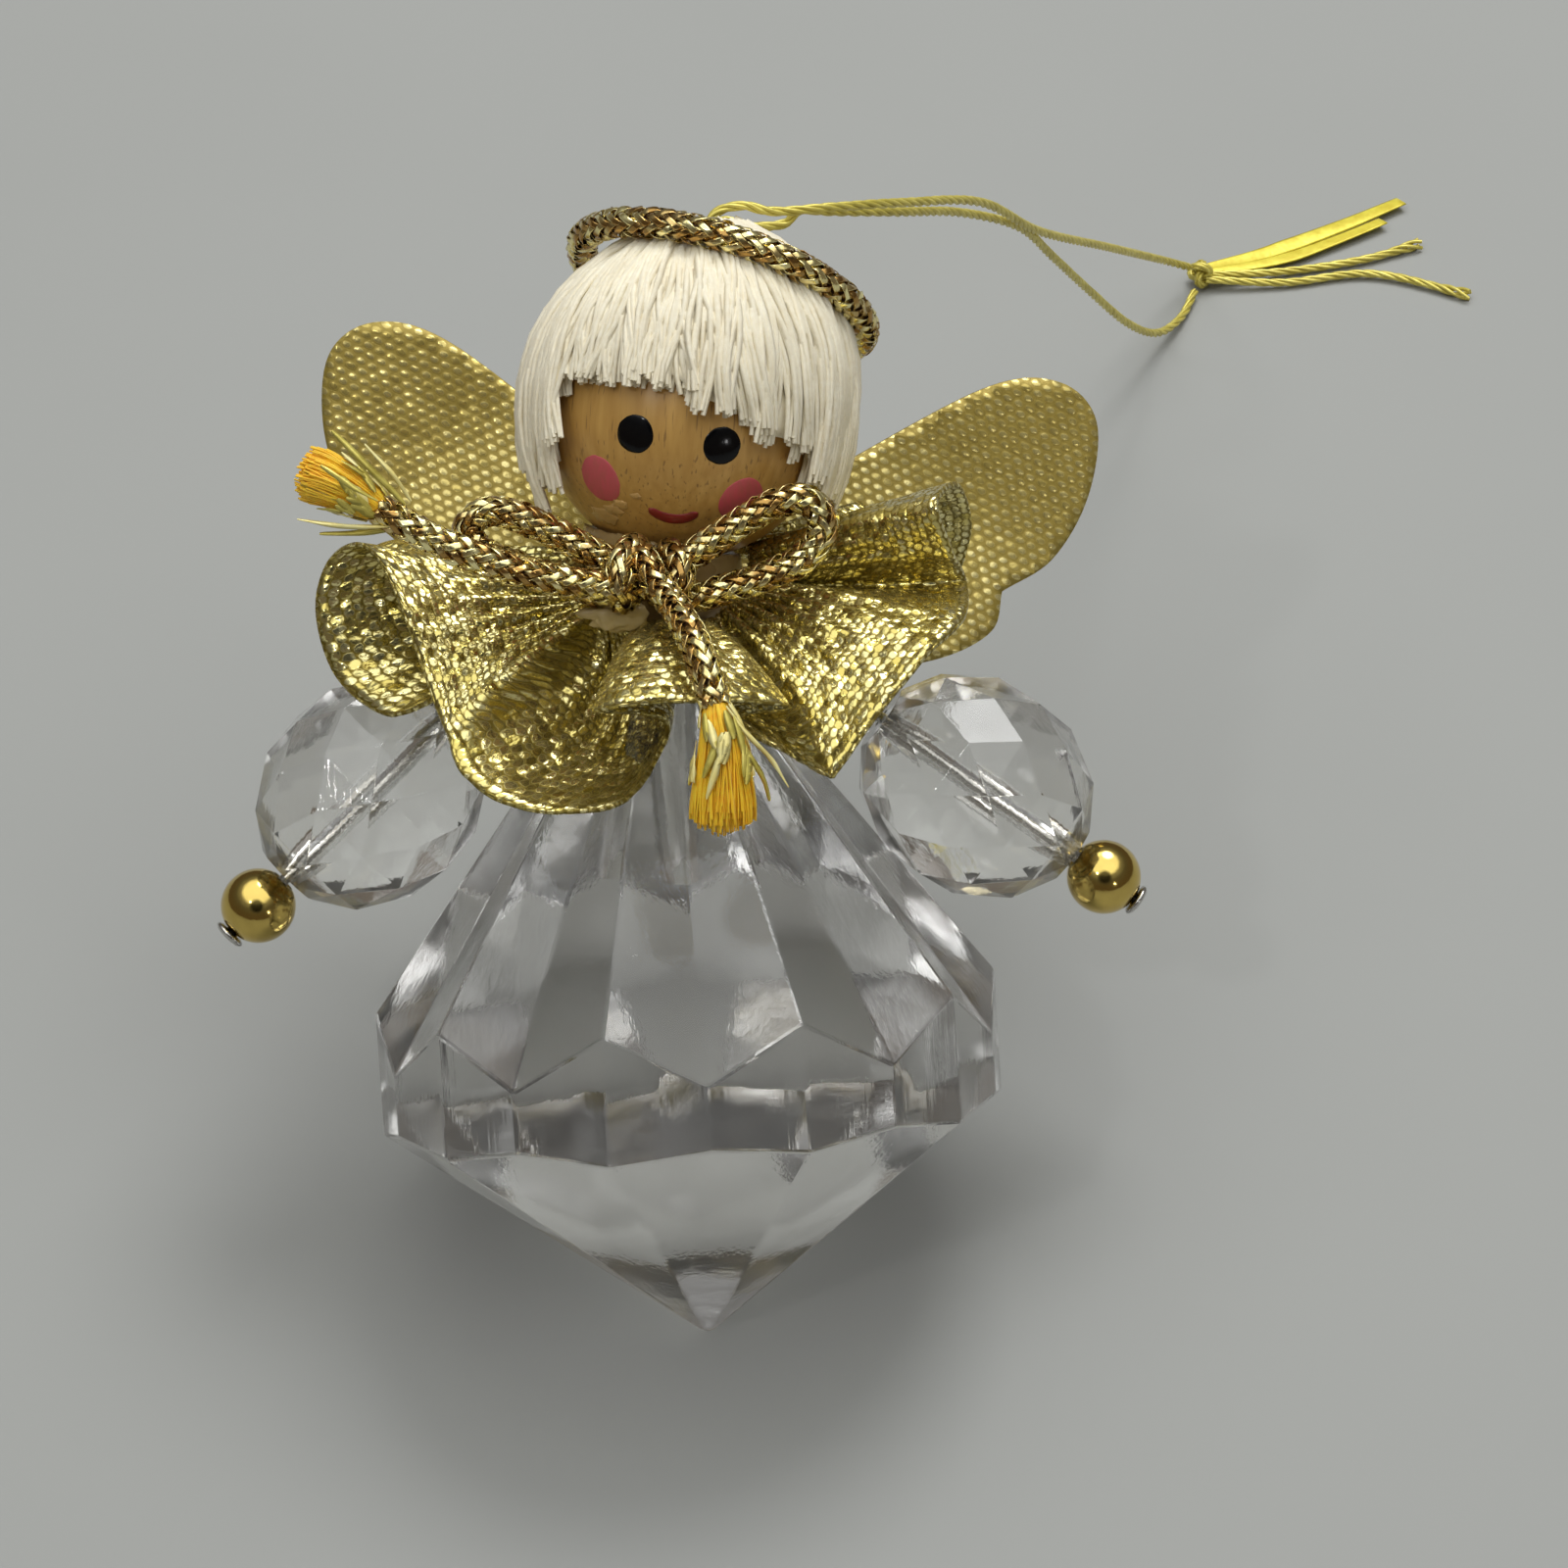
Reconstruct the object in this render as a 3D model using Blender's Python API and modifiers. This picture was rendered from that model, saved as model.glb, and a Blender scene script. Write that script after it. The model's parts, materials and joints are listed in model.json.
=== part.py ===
"""Bead angel ornament, leaning back on one facet of its clear skirt.

Every piece is laid out in the ornament's own upright frame, in millimetres: the skirt's point is the
origin, +Z runs up the skirt's axis and -Y is the side with the face. One empty then leans the whole
ornament back until the rear facet of the skirt's point lies on the table, which is z = 0.
"""

import math

import bmesh
import bpy
from mathutils import Euler, Matrix, Quaternion, Vector

MM = 0.001
MERGE = 1e-6
CLEARANCE = 0.3

# Skirt, from the point up: kite facets, upright band, fluted crown and a short drilled neck.
FLUTES = 10
SKIRT_RADIUS = 21.5
POINT_SLOPE = math.radians(37.4)
BAND_HEIGHT = 4.2
FLUTE_RISE = 3.55
CROWN_HEIGHT = 28.5
NECK_RADIUS = 5.0
NECK_LENGTH = 2.4
BORE_RADIUS = 2.2
BORE_DEPTH = 18.5
REST_POINT = 15.0

FOOT_AT_VALLEY = SKIRT_RADIUS * math.tan(POINT_SLOPE)
FOOT_AT_RIDGE = FOOT_AT_VALLEY * math.cos(math.pi / FLUTES)
BAND_TOP_AT_VALLEY = FOOT_AT_VALLEY + BAND_HEIGHT
BAND_TOP_AT_RIDGE = BAND_TOP_AT_VALLEY + FLUTE_RISE
CROWN_APEX = BAND_TOP_AT_RIDGE + CROWN_HEIGHT
CROWN_HALF_ANGLE = math.atan(SKIRT_RADIUS / CROWN_HEIGHT)
NECK_BASE = CROWN_APEX - NECK_RADIUS / math.tan(CROWN_HALF_ANGLE)
NECK_TOP = NECK_BASE + NECK_LENGTH

# Glue plug between the neck and the head, which also holds the pins, the collar and the wings.
GLUE_CENTRE_X = 0.4
GLUE_RADIUS = 5.4
GLUE_FOOT_INSET = 1.2
GLUE_FOOT_RISE = 1.6
GLUE_RISE_ON_HEAD = 2.9

# Head bead, turned to face the viewer and rolled to the right.
HEAD_X = 2.64
HEAD_LIFT = 5.6
HEAD_RADIUS = 10.0
HEAD_BORE_RADIUS = 2.0
HEAD_ROLL = math.radians(8.0)
HEAD_YAW = math.radians(-4.2)
HEAD_CENTRE = Vector((HEAD_X, 0.0, NECK_TOP + HEAD_LIFT + HEAD_RADIUS))

# Yarn hair lies on the bead and is thicker at the crown than at the sides.
HAIR_THICKNESS = 1.4
HAIR_CROWN_EXTRA = 0.8
HAIR_PARTING = math.radians(16.0)
FRINGE_HALF_WIDTH = math.radians(57.0)
FRINGE_EDGE = math.radians(77.0)
FRINGE_WAVE = math.radians(3.0)
FALL_EDGE = math.radians(108.0)
FALL_EXTRA_BEHIND = math.radians(14.0)
HAIR_GAP = math.radians(2.4)
HAIR_ROWS = 9
HAIR_SIDE_RADIUS = HEAD_RADIUS + CLEARANCE + HAIR_THICKNESS
HAIR_TOP_RADIUS = HAIR_SIDE_RADIUS + HAIR_CROWN_EXTRA

# Braided cord of the halo, which rests on the hair, and of the bow.
CORD_RADIUS = 1.0
HALO_RADIUS = 10.2
HALO_NORMAL = Vector((0.37, 0.32, 0.86)).normalized()
HALO_SLIP = Vector((-0.2, 0.5, 0.1))
BOW_KNOT_RADIUS = 1.6
BOW_KNOT_HALF_LENGTH = 1.7
LEFT_TASSEL_RADIUS = 2.0
FRONT_TASSEL_RADIUS = 2.3

# Arms: one headed pin each, through a gold bead and a clear bead into the glue plug.
ARM_DEPTH = 3.2
PIN_RADIUS = 0.4
PIN_EMBED = 1.7
PIN_HEAD_RADIUS = 1.15
PIN_HEAD_THICKNESS = 0.55
HAND_RADIUS = 2.6
ARM_FACETS = 10
ARM_BEAD_LENGTH = 16.4
ARM_BEAD_RADIUS = 7.6
BEAD_BORE_RADIUS = PIN_RADIUS + CLEARANCE
# For each arm: its side, its height over the neck, its angle off the crown and its bare length of pin.
ARMS = (
    ("left", -1, 5.35, math.radians(11.8), 14.05),
    ("right", 1, 1.8, math.radians(13.6), 13.25),
)

# Collar ribbon, gathered round the glue plug.
RIBBON_THICKNESS = 0.4
GATHER_RADIUS = GLUE_RADIUS + 2 * CLEARANCE
GATHER_FRONT_RISE = 1.2
GATHER_SIDE_RISE = 4.6
COLLAR_STEPS = 5
COLLAR_COLUMNS = 4

# Wings: one stiff sheet with a fold up the middle, held off the neck by a bar of glue.
WING_X = 4.0
WING_STANDOFF = 7.3
WING_RISE = 5.5
WING_ROLL = math.radians(8.7)
WING_SWEEP = 0.158
WING_THICKNESS = 0.4
WING_GLUE_RADIUS = 2.2
WING_ROOT = Vector((WING_X, GLUE_RADIUS + CLEARANCE + WING_STANDOFF, NECK_TOP + WING_RISE))

# Hanging thread.
THREAD_RADIUS = 0.35
THREAD_KNOT_RADIUS = 1.15

# Outline of one half of the wings, across from the fold and up from the root: the upper lobe, then the
# lower one, which meet in a notch at the outer edge.
UPPER_WING = (
    (0.0, 1.2), (5.0, 3.4), (10.3, 7.3), (19.4, 13.0), (24.6, 13.8), (27.6, 11.2), (27.5, 5.8),
    (25.3, 1.1), (21.8, -1.5),
)
LOWER_WING = ((21.8, -1.5), (21.3, -4.4), (17.8, -6.6), (13.0, -7.5), (7.0, -6.6), (0.0, -4.2))

# Free edge of the collar, fold by fold: the turn of the gathered end in degrees, the point itself from
# the top of the neck, and how far the ribbon arches up between the two.
COLLAR_EDGE = (
    (-128, (-17.0, 8.5, 8.0), 0.6), (-122, (-19.6, 5.6, 6.3), 0.6), (-106, (-14.2, -3.6, -2.7), 0.4),
    (-98, (-15.3, -10.1, -1.2), 0.4), (-92, (-19.4, -5.9, -3.1), 0.6), (-86, (-22.7, -1.8, -0.6), 0.8),
    (-80, (-23.8, -2.1, 3.8), 0.8), (-75, (-22.8, -3.9, 7.5), 0.6), (-69, (-20.5, -8.1, 8.7), 0.4),
    (-63, (-18.7, -12.1, 7.0), 0.4), (-57, (-17.0, -14.2, 2.2), 0.8), (-46, (-14.4, -13.1, -6.8), 0.8),
    (-41, (-11.8, -13.0, -9.0), 0.4), (-31, (-3.7, -14.3, -9.6), 0.0), (-21, (-0.6, -14.6, -4.9), 1.0),
    (-11, (-5.6, -16.4, -3.1), 3.2), (-1, (0.8, -18.1, -2.7), 4.5), (11, (7.3, -15.0, -3.7), 3.2),
    (23, (5.2, -13.8, -6.1), 1.2), (34, (9.6, -14.2, -8.7), 0.2), (47, (13.6, -14.4, -4.3), 0.6),
    (54, (17.1, -12.4, -1.2), 0.8), (61, (20.2, -8.4, 1.1), 0.8), (68, (21.0, -7.0, 3.4), 0.6),
    (75, (19.4, -8.8, 5.8), 0.4), (82, (18.6, -9.0, 8.8), 0.4), (90, (20.6, -4.6, 9.7), 0.4),
    (98, (21.8, 0.4, 6.3), 0.6), (106, (20.2, 3.4, 1.9), 0.6), (114, (17.6, 6.4, 2.1), 0.6),
    (122, (17.4, 8.8, 5.9), 0.6), (128, (15.0, 10.2, 8.1), 0.6),
)

# Bow, from the front of the gathers at the top of the neck.
BOW_KNOT = Vector((-1.0, -BOW_KNOT_RADIUS, 4.8))
BOW_KNOT_AXIS = Vector((0.35, 0.0, 0.94))
BOW_CORDS = {
    "bow_left_loop": (
        (-3.0, -2.0, 6.0), (-5.1, -2.4, 7.2), (-8.5, -2.8, 9.2), (-11.2, -2.8, 10.2), (-12.9, -2.6, 9.3),
        (-12.3, -2.6, 7.7), (-9.8, -2.6, 6.3), (-6.4, -2.4, 5.0), (-3.4, -2.0, 3.8),
    ),
    "bow_right_loop": (
        (1.0, -2.0, 5.7), (2.6, -2.5, 6.7), (5.0, -3.0, 8.1), (7.6, -3.2, 9.4), (9.9, -3.0, 9.5),
        (10.9, -2.8, 7.8), (9.7, -2.6, 5.8), (7.0, -2.5, 4.6), (4.2, -2.4, 3.9), (1.8, -2.0, 3.4),
    ),
    "bow_left_tail": (
        (-3.0, -4.5, 4.5), (-5.0, -4.9, 4.9), (-8.5, -5.4, 5.8), (-12.9, -5.6, 7.5), (-16.1, -5.7, 9.2),
        (-18.9, -5.6, 11.1),
    ),
    "bow_front_tail": (
        (-0.3, -4.4, 4.0), (0.2, -6.5, 3.5), (0.9, -9.8, 2.1), (1.7, -12.7, -0.3), (2.3, -14.1, -3.1),
    ),
}
LEFT_TASSEL = ((-19.3, -5.6, 11.4), (-20.6, -5.3, 12.3), (-22.2, -4.8, 13.2), (-23.8, -4.2, 13.8))
FRONT_TASSEL = ((2.4, -14.2, -3.6), (2.5, -14.2, -5.5), (2.4, -13.9, -8.5), (2.2, -13.6, -11.4))

# Hanging thread: both strands leave the bore of the head together, in the upright frame, and fall to
# the table behind, where the knot and the cut ends lie, in the table's frame from the skirt's point.
STRAND_EXITS = (
    ((3.7, -0.6, 72.0), (4.2, -0.6, 75.0), (5.4, -0.5, 77.4), (7.4, -0.4, 77.9)),
    ((3.7, 0.7, 72.0), (4.4, 0.8, 75.0), (5.8, 1.0, 76.9), (8.2, 1.2, 76.4)),
)
STRAND_FALLS = (
    (
        (9.5, 46.8, 61.6), (13.7, 47.9, 60.8), (18.9, 52.2, 57.5), (25.8, 62.1, 49.5), (31.7, 73.1, 38.0),
        (39.8, 90.4, 22.5), (47.1, 107.4, 7.5), (50.4, 112.8, 2.3),
    ),
    (
        (10.4, 48.0, 59.6), (11.4, 48.3, 60.4), (13.7, 49.0, 59.6), (18.8, 53.4, 55.8), (24.4, 62.2, 48.6),
        (29.9, 70.9, 40.2), (33.7, 78.8, 31.0), (37.9, 87.8, 20.5), (42.7, 96.9, 9.5), (46.4, 103.9, 2.6),
        (49.1, 108.2, 0.6), (50.8, 111.6, 0.6),
    ),
)
THREAD_KNOT = Vector((51.5, 113.2, 1.3))
THREAD_KNOT_AXIS = Vector((0.95, 0.3, 0.0))
CUT_ENDS = {
    "hanger_foil_end": ((52.8, 113.9, 1.2), (58.2, 115.7, 0.6), (64.6, 118.6, 0.5), (70.6, 121.7, 0.5)),
    "hanger_end_a": ((52.8, 113.0, 0.8), (58.7, 113.7, 0.45), (65.6, 114.6, 0.45), (70.9, 116.3, 0.45)),
    "hanger_end_b": ((52.4, 111.9, 0.7), (58.6, 112.2, 0.45), (66.2, 112.6, 0.45), (73.8, 108.9, 0.45)),
}


class Layout:
    """Keeps the collections, the materials and the empty that leans the ornament back."""

    def __init__(self):
        for found in list(bpy.data.objects):
            bpy.data.objects.remove(found, do_unlink=True)
        self.parts = bpy.data.collections.new("angel_ornament")
        self.cutters = bpy.data.collections.new("cutters")
        for collection in (self.parts, self.cutters):
            bpy.context.scene.collection.children.link(collection)
        self.rest = None
        lean = Quaternion((1.0, 0.0, 0.0), -POINT_SLOPE)
        self.rest = self.axes("rest_pose", Vector((0.0, -REST_POINT, 0.0)), lean)

    def axes(self, name, location, turn):
        """An empty that carries the pieces laid out about it."""
        empty = bpy.data.objects.new(name, None)
        empty.rotation_mode = "QUATERNION"
        empty.rotation_quaternion = turn
        empty.location = location * MM
        empty.parent = self.rest
        self.parts.objects.link(empty)
        return empty

    def add(self, name, data, material=None, parent=None):
        """Adds a mesh or a curve as a part, or as a cutter where it has no material."""
        obj = bpy.data.objects.new(name, data)
        obj.parent = parent or self.rest
        if material:
            data.materials.append(material)
            self.parts.objects.link(obj)
        else:
            self.cutters.objects.link(obj)
            obj.hide_render = True
            obj.display_type = "WIRE"
        return obj


def finish(name, colour, roughness, metallic=0.0, transmission=0.0):
    made = bpy.data.materials.new(name)
    made.use_nodes = True
    shader = made.node_tree.nodes["Principled BSDF"]
    shader.inputs["Base Color"].default_value = (*colour, 1.0)
    shader.inputs["Roughness"].default_value = roughness
    shader.inputs["Metallic"].default_value = metallic
    shader.inputs["Transmission Weight"].default_value = transmission
    return made


def mesh_of(name, made):
    """Turns a finished bmesh into a mesh with its faces pointing out."""
    bmesh.ops.recalc_face_normals(made, faces=made.faces[:])
    mesh = bpy.data.meshes.new(name)
    made.to_mesh(mesh)
    made.free()
    return mesh


def turned(layout, name, profile, steps, material=None, parent=None, drilled=False):
    """A turned piece about its own Z: the profile of (radius, height) runs down the outside, from axis to
    axis, or goes back up the hole of a drilled piece."""
    edges = [(i, i + 1) for i in range(len(profile) - 1)]
    if drilled:
        edges.append((len(profile) - 1, 0))
    mesh = bpy.data.meshes.new(name)
    mesh.from_pydata([(radius * MM, 0.0, height * MM) for radius, height in profile], edges, [])
    obj = layout.add(name, mesh, material, parent)
    screw = obj.modifiers.new("turn", "SCREW")
    screw.steps = steps
    screw.render_steps = steps
    screw.use_merge_vertices = True
    screw.merge_threshold = MERGE
    return obj


def drilled_ball(radius, bore, steps):
    """Profile of a ball with a hole along its axis."""
    first = math.asin(bore / radius)
    turns = [first + (math.pi - 2 * first) * k / steps for k in range(steps + 1)]
    return [(radius * math.sin(turn), radius * math.cos(turn)) for turn in turns]


def rod(layout, name, path, radius, material, widths=None, parent=None):
    """A round rod or cord along a path, as wide at each point as its share of the radius."""
    curve = bpy.data.curves.new(name, "CURVE")
    curve.dimensions = "3D"
    curve.bevel_depth = radius * MM
    curve.bevel_resolution = 2
    curve.use_fill_caps = True
    spline = curve.splines.new("POLY")
    spline.points.add(len(path) - 1)
    for point, place, width in zip(spline.points, path, widths or [1.0] * len(path)):
        point.co = (*(Vector(place) * MM), 1.0)
        point.radius = width
    return layout.add(name, curve, material, parent)


def cut(obj, cutter):
    boolean = obj.modifiers.new(cutter.name, "BOOLEAN")
    boolean.operation = "DIFFERENCE"
    boolean.solver = "EXACT"
    boolean.object = cutter


def shell(obj, thickness, offset):
    """Gives an open surface its thickness: outwards at offset 1, inwards at -1, both ways at 0."""
    solidify = obj.modifiers.new("thickness", "SOLIDIFY")
    solidify.thickness = thickness * MM
    solidify.offset = offset


def smooth_path(points, steps):
    """Points along a Catmull-Rom curve through the given ones."""
    points = [Vector(point) for point in points]
    padded = [points[0] * 2 - points[1], *points, points[-1] * 2 - points[-2]]
    path = []
    for before, here, there, after in zip(padded, padded[1:], padded[2:], padded[3:]):
        for k in range(steps):
            t = k / steps
            linear = 2 * here + (there - before) * t
            square = (2 * before - 5 * here + 4 * there - after) * t * t
            cube = (3 * here - before - 3 * there + after) * t * t * t
            path.append(0.5 * (linear + square + cube))
    path.append(points[-1])
    return path


def set_ring(verts, valley, ridge):
    """Moves a ring's vertices to the (radius, height) of a valley or a ridge, whichever each one is on."""
    for vert in verts:
        step = round(math.atan2(vert.co.x, -vert.co.y) * FLUTES / math.pi)
        turn = step * math.pi / FLUTES
        radius, height = ridge if step % 2 else valley
        vert.co = Vector((radius * math.sin(turn), -radius * math.cos(turn), height)) * MM


def extruded_ring(made, edges):
    """Extrudes a ring of edges in place, and returns the new vertices and edges."""
    grown = bmesh.ops.extrude_edge_only(made, edges=edges)["geom"]
    verts = [found for found in grown if isinstance(found, bmesh.types.BMVert)]
    ring = [edge for edge in made.edges if all(vert in verts for vert in edge.verts)]
    return verts, ring


def skirt(layout, material):
    """The clear drop, drawn up ring by ring from the foot of its band, then closed at the point."""
    valley_neck = NECK_RADIUS * CROWN_HEIGHT / (CROWN_HEIGHT + FLUTE_RISE)
    made = bmesh.new()
    verts = bmesh.ops.create_circle(made, segments=2 * FLUTES, radius=SKIRT_RADIUS * MM)["verts"]
    set_ring(verts, (SKIRT_RADIUS, FOOT_AT_VALLEY), (SKIRT_RADIUS, FOOT_AT_RIDGE))
    foot = made.edges[:]
    ring = foot
    for valley, ridge in (
        ((SKIRT_RADIUS, BAND_TOP_AT_VALLEY), (SKIRT_RADIUS, BAND_TOP_AT_RIDGE)),
        ((valley_neck, NECK_BASE), (NECK_RADIUS, NECK_BASE)),
        ((valley_neck, NECK_TOP), (NECK_RADIUS, NECK_TOP)),
        ((BORE_RADIUS, NECK_TOP), (BORE_RADIUS, NECK_TOP)),
        ((BORE_RADIUS, NECK_TOP - BORE_DEPTH), (BORE_RADIUS, NECK_TOP - BORE_DEPTH)),
    ):
        verts, ring = extruded_ring(made, ring)
        set_ring(verts, valley, ridge)
    bmesh.ops.contextual_create(made, geom=ring)
    point, _ = extruded_ring(made, foot)
    bmesh.ops.pointmerge(made, verts=point, merge_co=(0.0, 0.0, 0.0))
    flat = math.radians(0.2)
    bmesh.ops.dissolve_limit(made, angle_limit=flat, verts=made.verts[:], edges=made.edges[:])
    layout.add("skirt_drop", mesh_of("skirt_drop", made), material)


def faceted_bead(layout, name, material, parent, middle):
    """A clear bead: rings of corners, each turned half a step from the last, under one convex hull."""
    half = ARM_BEAD_LENGTH / 2
    made = bmesh.new()
    rings = ((0.32, -1.0), (0.68, -0.78), (0.93, -0.38), (1.0, 0.0), (0.93, 0.38), (0.68, 0.78), (0.32, 1.0))
    for level, (out, along) in enumerate(rings):
        place = Matrix.Translation((0.0, 0.0, (middle + half * along) * MM))
        turn = Matrix.Rotation(math.pi / ARM_FACETS * (level % 2), 4, "Z")
        radius = ARM_BEAD_RADIUS * out * MM
        bmesh.ops.create_circle(made, segments=ARM_FACETS, radius=radius, matrix=place @ turn)
    bmesh.ops.delete(made, geom=made.edges[:], context="EDGES_FACES")
    bmesh.ops.convex_hull(made, input=made.verts[:])
    bead = layout.add(name, mesh_of(name, made), material, parent)
    ends = middle + half + 1.0, middle - half - 1.0
    profile = [(0.0, ends[0]), (BEAD_BORE_RADIUS, ends[0]), (BEAD_BORE_RADIUS, ends[1]), (0.0, ends[1])]
    cut(bead, turned(layout, name + "_bore", profile, 12, parent=parent))


def arm(layout, plug, side, sign, rise, spread, bare, clear, gold, steel):
    """One arm about its pin, which enters the glue plug and runs out beside the skirt's crown."""
    pitch = math.pi / 2 - CROWN_HALF_ANGLE - spread
    out = Vector((sign * math.cos(pitch), 0.0, -math.sin(pitch)))
    entry_x = GLUE_CENTRE_X + sign * math.sqrt(GLUE_RADIUS ** 2 - ARM_DEPTH ** 2)
    entry = Vector((entry_x, ARM_DEPTH, NECK_TOP + rise))
    axis = layout.axes(f"{side}_arm_axis", entry, out.to_track_quat("Z", "Y"))
    bead_end = bare + ARM_BEAD_LENGTH
    hand_end = bead_end + 2 * (CLEARANCE + HAND_RADIUS)
    pin_end = hand_end + PIN_HEAD_THICKNESS
    rim = pin_end - PIN_HEAD_THICKNESS * 0.4
    turned(layout, f"{side}_arm_pin", [
        (0.0, pin_end), (PIN_HEAD_RADIUS * 0.8, pin_end), (PIN_HEAD_RADIUS, rim), (PIN_HEAD_RADIUS, hand_end),
        (PIN_RADIUS, hand_end), (PIN_RADIUS, -PIN_EMBED), (0.0, -PIN_EMBED),
    ], 12, steel, axis)
    faceted_bead(layout, f"{side}_arm_bead", clear, axis, (bare + bead_end) / 2)
    ball = drilled_ball(HAND_RADIUS, BEAD_BORE_RADIUS, 12)
    hand = turned(layout, f"{side}_hand_bead", ball, 20, gold, axis, drilled=True)
    hand.location.z = (bead_end + CLEARANCE + HAND_RADIUS) * MM
    floor = -PIN_EMBED - CLEARANCE
    hole = [(0.0, bare), (BEAD_BORE_RADIUS, bare), (BEAD_BORE_RADIUS, floor), (0.0, floor)]
    cut(plug, turned(layout, f"{side}_pin_hole", hole, 12, parent=axis))


def neck_glue(layout, material):
    """The glue plug, hollowed for the head that sits in it."""
    foot = NECK_TOP + CLEARANCE
    top = HEAD_CENTRE.z - HEAD_RADIUS + GLUE_RISE_ON_HEAD
    plug = turned(layout, "neck_glue", [
        (0.0, top), (GLUE_RADIUS, top), (GLUE_RADIUS, foot + GLUE_FOOT_RISE),
        (GLUE_RADIUS - GLUE_FOOT_INSET, foot), (0.0, foot),
    ], 24, material)
    plug.location.x = GLUE_CENTRE_X * MM
    made = bmesh.new()
    bmesh.ops.create_uvsphere(made, u_segments=32, v_segments=16, radius=(HEAD_RADIUS + CLEARANCE) * MM)
    seat = layout.add("head_seat", mesh_of("head_seat", made))
    seat.location = HEAD_CENTRE * MM
    cut(plug, seat)
    return plug


def head_axes(layout):
    turn = Euler((0.0, HEAD_ROLL, HEAD_YAW)).to_quaternion()
    return layout.axes("head_axes", HEAD_CENTRE, turn)


def hair_piece(layout, name, start, stop, columns, edge, material, parent):
    """One lock as a curved patch about the head's centre, from the parting to its cut edge."""
    made = bmesh.new()
    bmesh.ops.create_grid(made, x_segments=columns, y_segments=HAIR_ROWS, size=0.5)
    for vert in made.verts:
        turn = start + (stop - start) * (vert.co.x + 0.5)
        polar = HAIR_PARTING + (edge(turn) - HAIR_PARTING) * (vert.co.y + 0.5)
        out = math.hypot(math.sin(polar) / HAIR_SIDE_RADIUS, math.cos(polar) / HAIR_TOP_RADIUS)
        way = Vector((math.sin(polar) * math.sin(turn), -math.sin(polar) * math.cos(turn), math.cos(polar)))
        vert.co = way / out * MM
    mesh = bpy.data.meshes.new(name)
    bmesh.ops.reverse_faces(made, faces=made.faces[:])
    made.to_mesh(mesh)
    made.free()
    shell(layout.add(name, mesh, material, parent), HAIR_THICKNESS, -1.0)


def hair(layout, material, parent):
    """A fringe over the face and a longer fall round the sides and the back."""
    def fringe_edge(turn):
        return FRINGE_EDGE + FRINGE_WAVE * math.cos(3 * turn)

    def fall_edge(turn):
        return FALL_EDGE + FALL_EXTRA_BEHIND * (1 - math.cos(turn)) / 2

    side = FRINGE_HALF_WIDTH
    start = side + HAIR_GAP
    stop = 2 * math.pi - start
    hair_piece(layout, "hair_fringe", -side, side, 16, fringe_edge, material, parent)
    hair_piece(layout, "hair_fall", start, stop, 32, fall_edge, material, parent)


def halo(layout, material):
    """The ring of cord, lying on the hair."""
    lift = math.sqrt((HAIR_TOP_RADIUS + CLEARANCE + CORD_RADIUS) ** 2 - HALO_RADIUS ** 2)
    bpy.ops.mesh.primitive_torus_add(
        major_segments=40, minor_segments=10, major_radius=HALO_RADIUS * MM, minor_radius=CORD_RADIUS * MM,
    )
    torus = bpy.context.object
    ring = layout.add("halo_ring", torus.data, material)
    ring.rotation_euler = HALO_NORMAL.to_track_quat("Z", "Y").to_euler()
    ring.location = (HEAD_CENTRE + HALO_NORMAL * lift + HALO_SLIP) * MM
    bpy.data.objects.remove(torus, do_unlink=True)


def gather_point(turn):
    """Where the gathered edge of the collar sits round the glue plug, from the top of the neck."""
    return Vector((
        GLUE_CENTRE_X + GATHER_RADIUS * math.sin(turn),
        -GATHER_RADIUS * math.cos(turn),
        GATHER_FRONT_RISE + GATHER_SIDE_RISE * min(1.0, 1.0 - math.cos(turn)),
    ))


def collar(layout, material):
    """The ruffle: an arched line from the gathers to each point of the free edge."""
    edge = smooth_path([point for _, point, _ in COLLAR_EDGE], COLLAR_STEPS)
    others = smooth_path([(math.radians(turn), arch, 0.0) for turn, _, arch in COLLAR_EDGE], COLLAR_STEPS)
    made = bmesh.new()
    along = len(edge) - 1
    bmesh.ops.create_grid(made, x_segments=along, y_segments=COLLAR_COLUMNS, size=0.5)
    for vert in made.verts:
        index = round((vert.co.x + 0.5) * along)
        share = vert.co.y + 0.5
        turn, arch, _ = others[index]
        inner = gather_point(turn)
        middle = (inner + edge[index]) / 2 + Vector((0.0, 0.0, arch))
        line = inner * (1 - share) ** 2 + middle * (2 * share * (1 - share)) + edge[index] * share ** 2
        vert.co = line * MM
    ruffle = layout.add("collar_ruffle", mesh_of("collar_ruffle", made), material)
    ruffle.location.z = NECK_TOP * MM
    shell(ruffle, RIBBON_THICKNESS, 0.0)


def wings(layout, material):
    """Both wings as one sheet, mirrored about the fold."""
    outline = smooth_path([(u, v, 0.0) for u, v in UPPER_WING], 3)[:-1]
    outline += smooth_path([(u, v, 0.0) for u, v in LOWER_WING], 3)
    made = bmesh.new()
    corners = [made.verts.new(Vector((u, u * WING_SWEEP, v)) * MM) for u, v, _ in outline]
    bmesh.ops.contextual_create(made, geom=corners)
    sheet = layout.add("wings", mesh_of("wings", made), material)
    sheet.location = WING_ROOT * MM
    sheet.rotation_euler.y = WING_ROLL
    mirror = sheet.modifiers.new("other_half", "MIRROR")
    mirror.merge_threshold = MERGE
    shell(sheet, WING_THICKNESS, 0.0)


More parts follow.
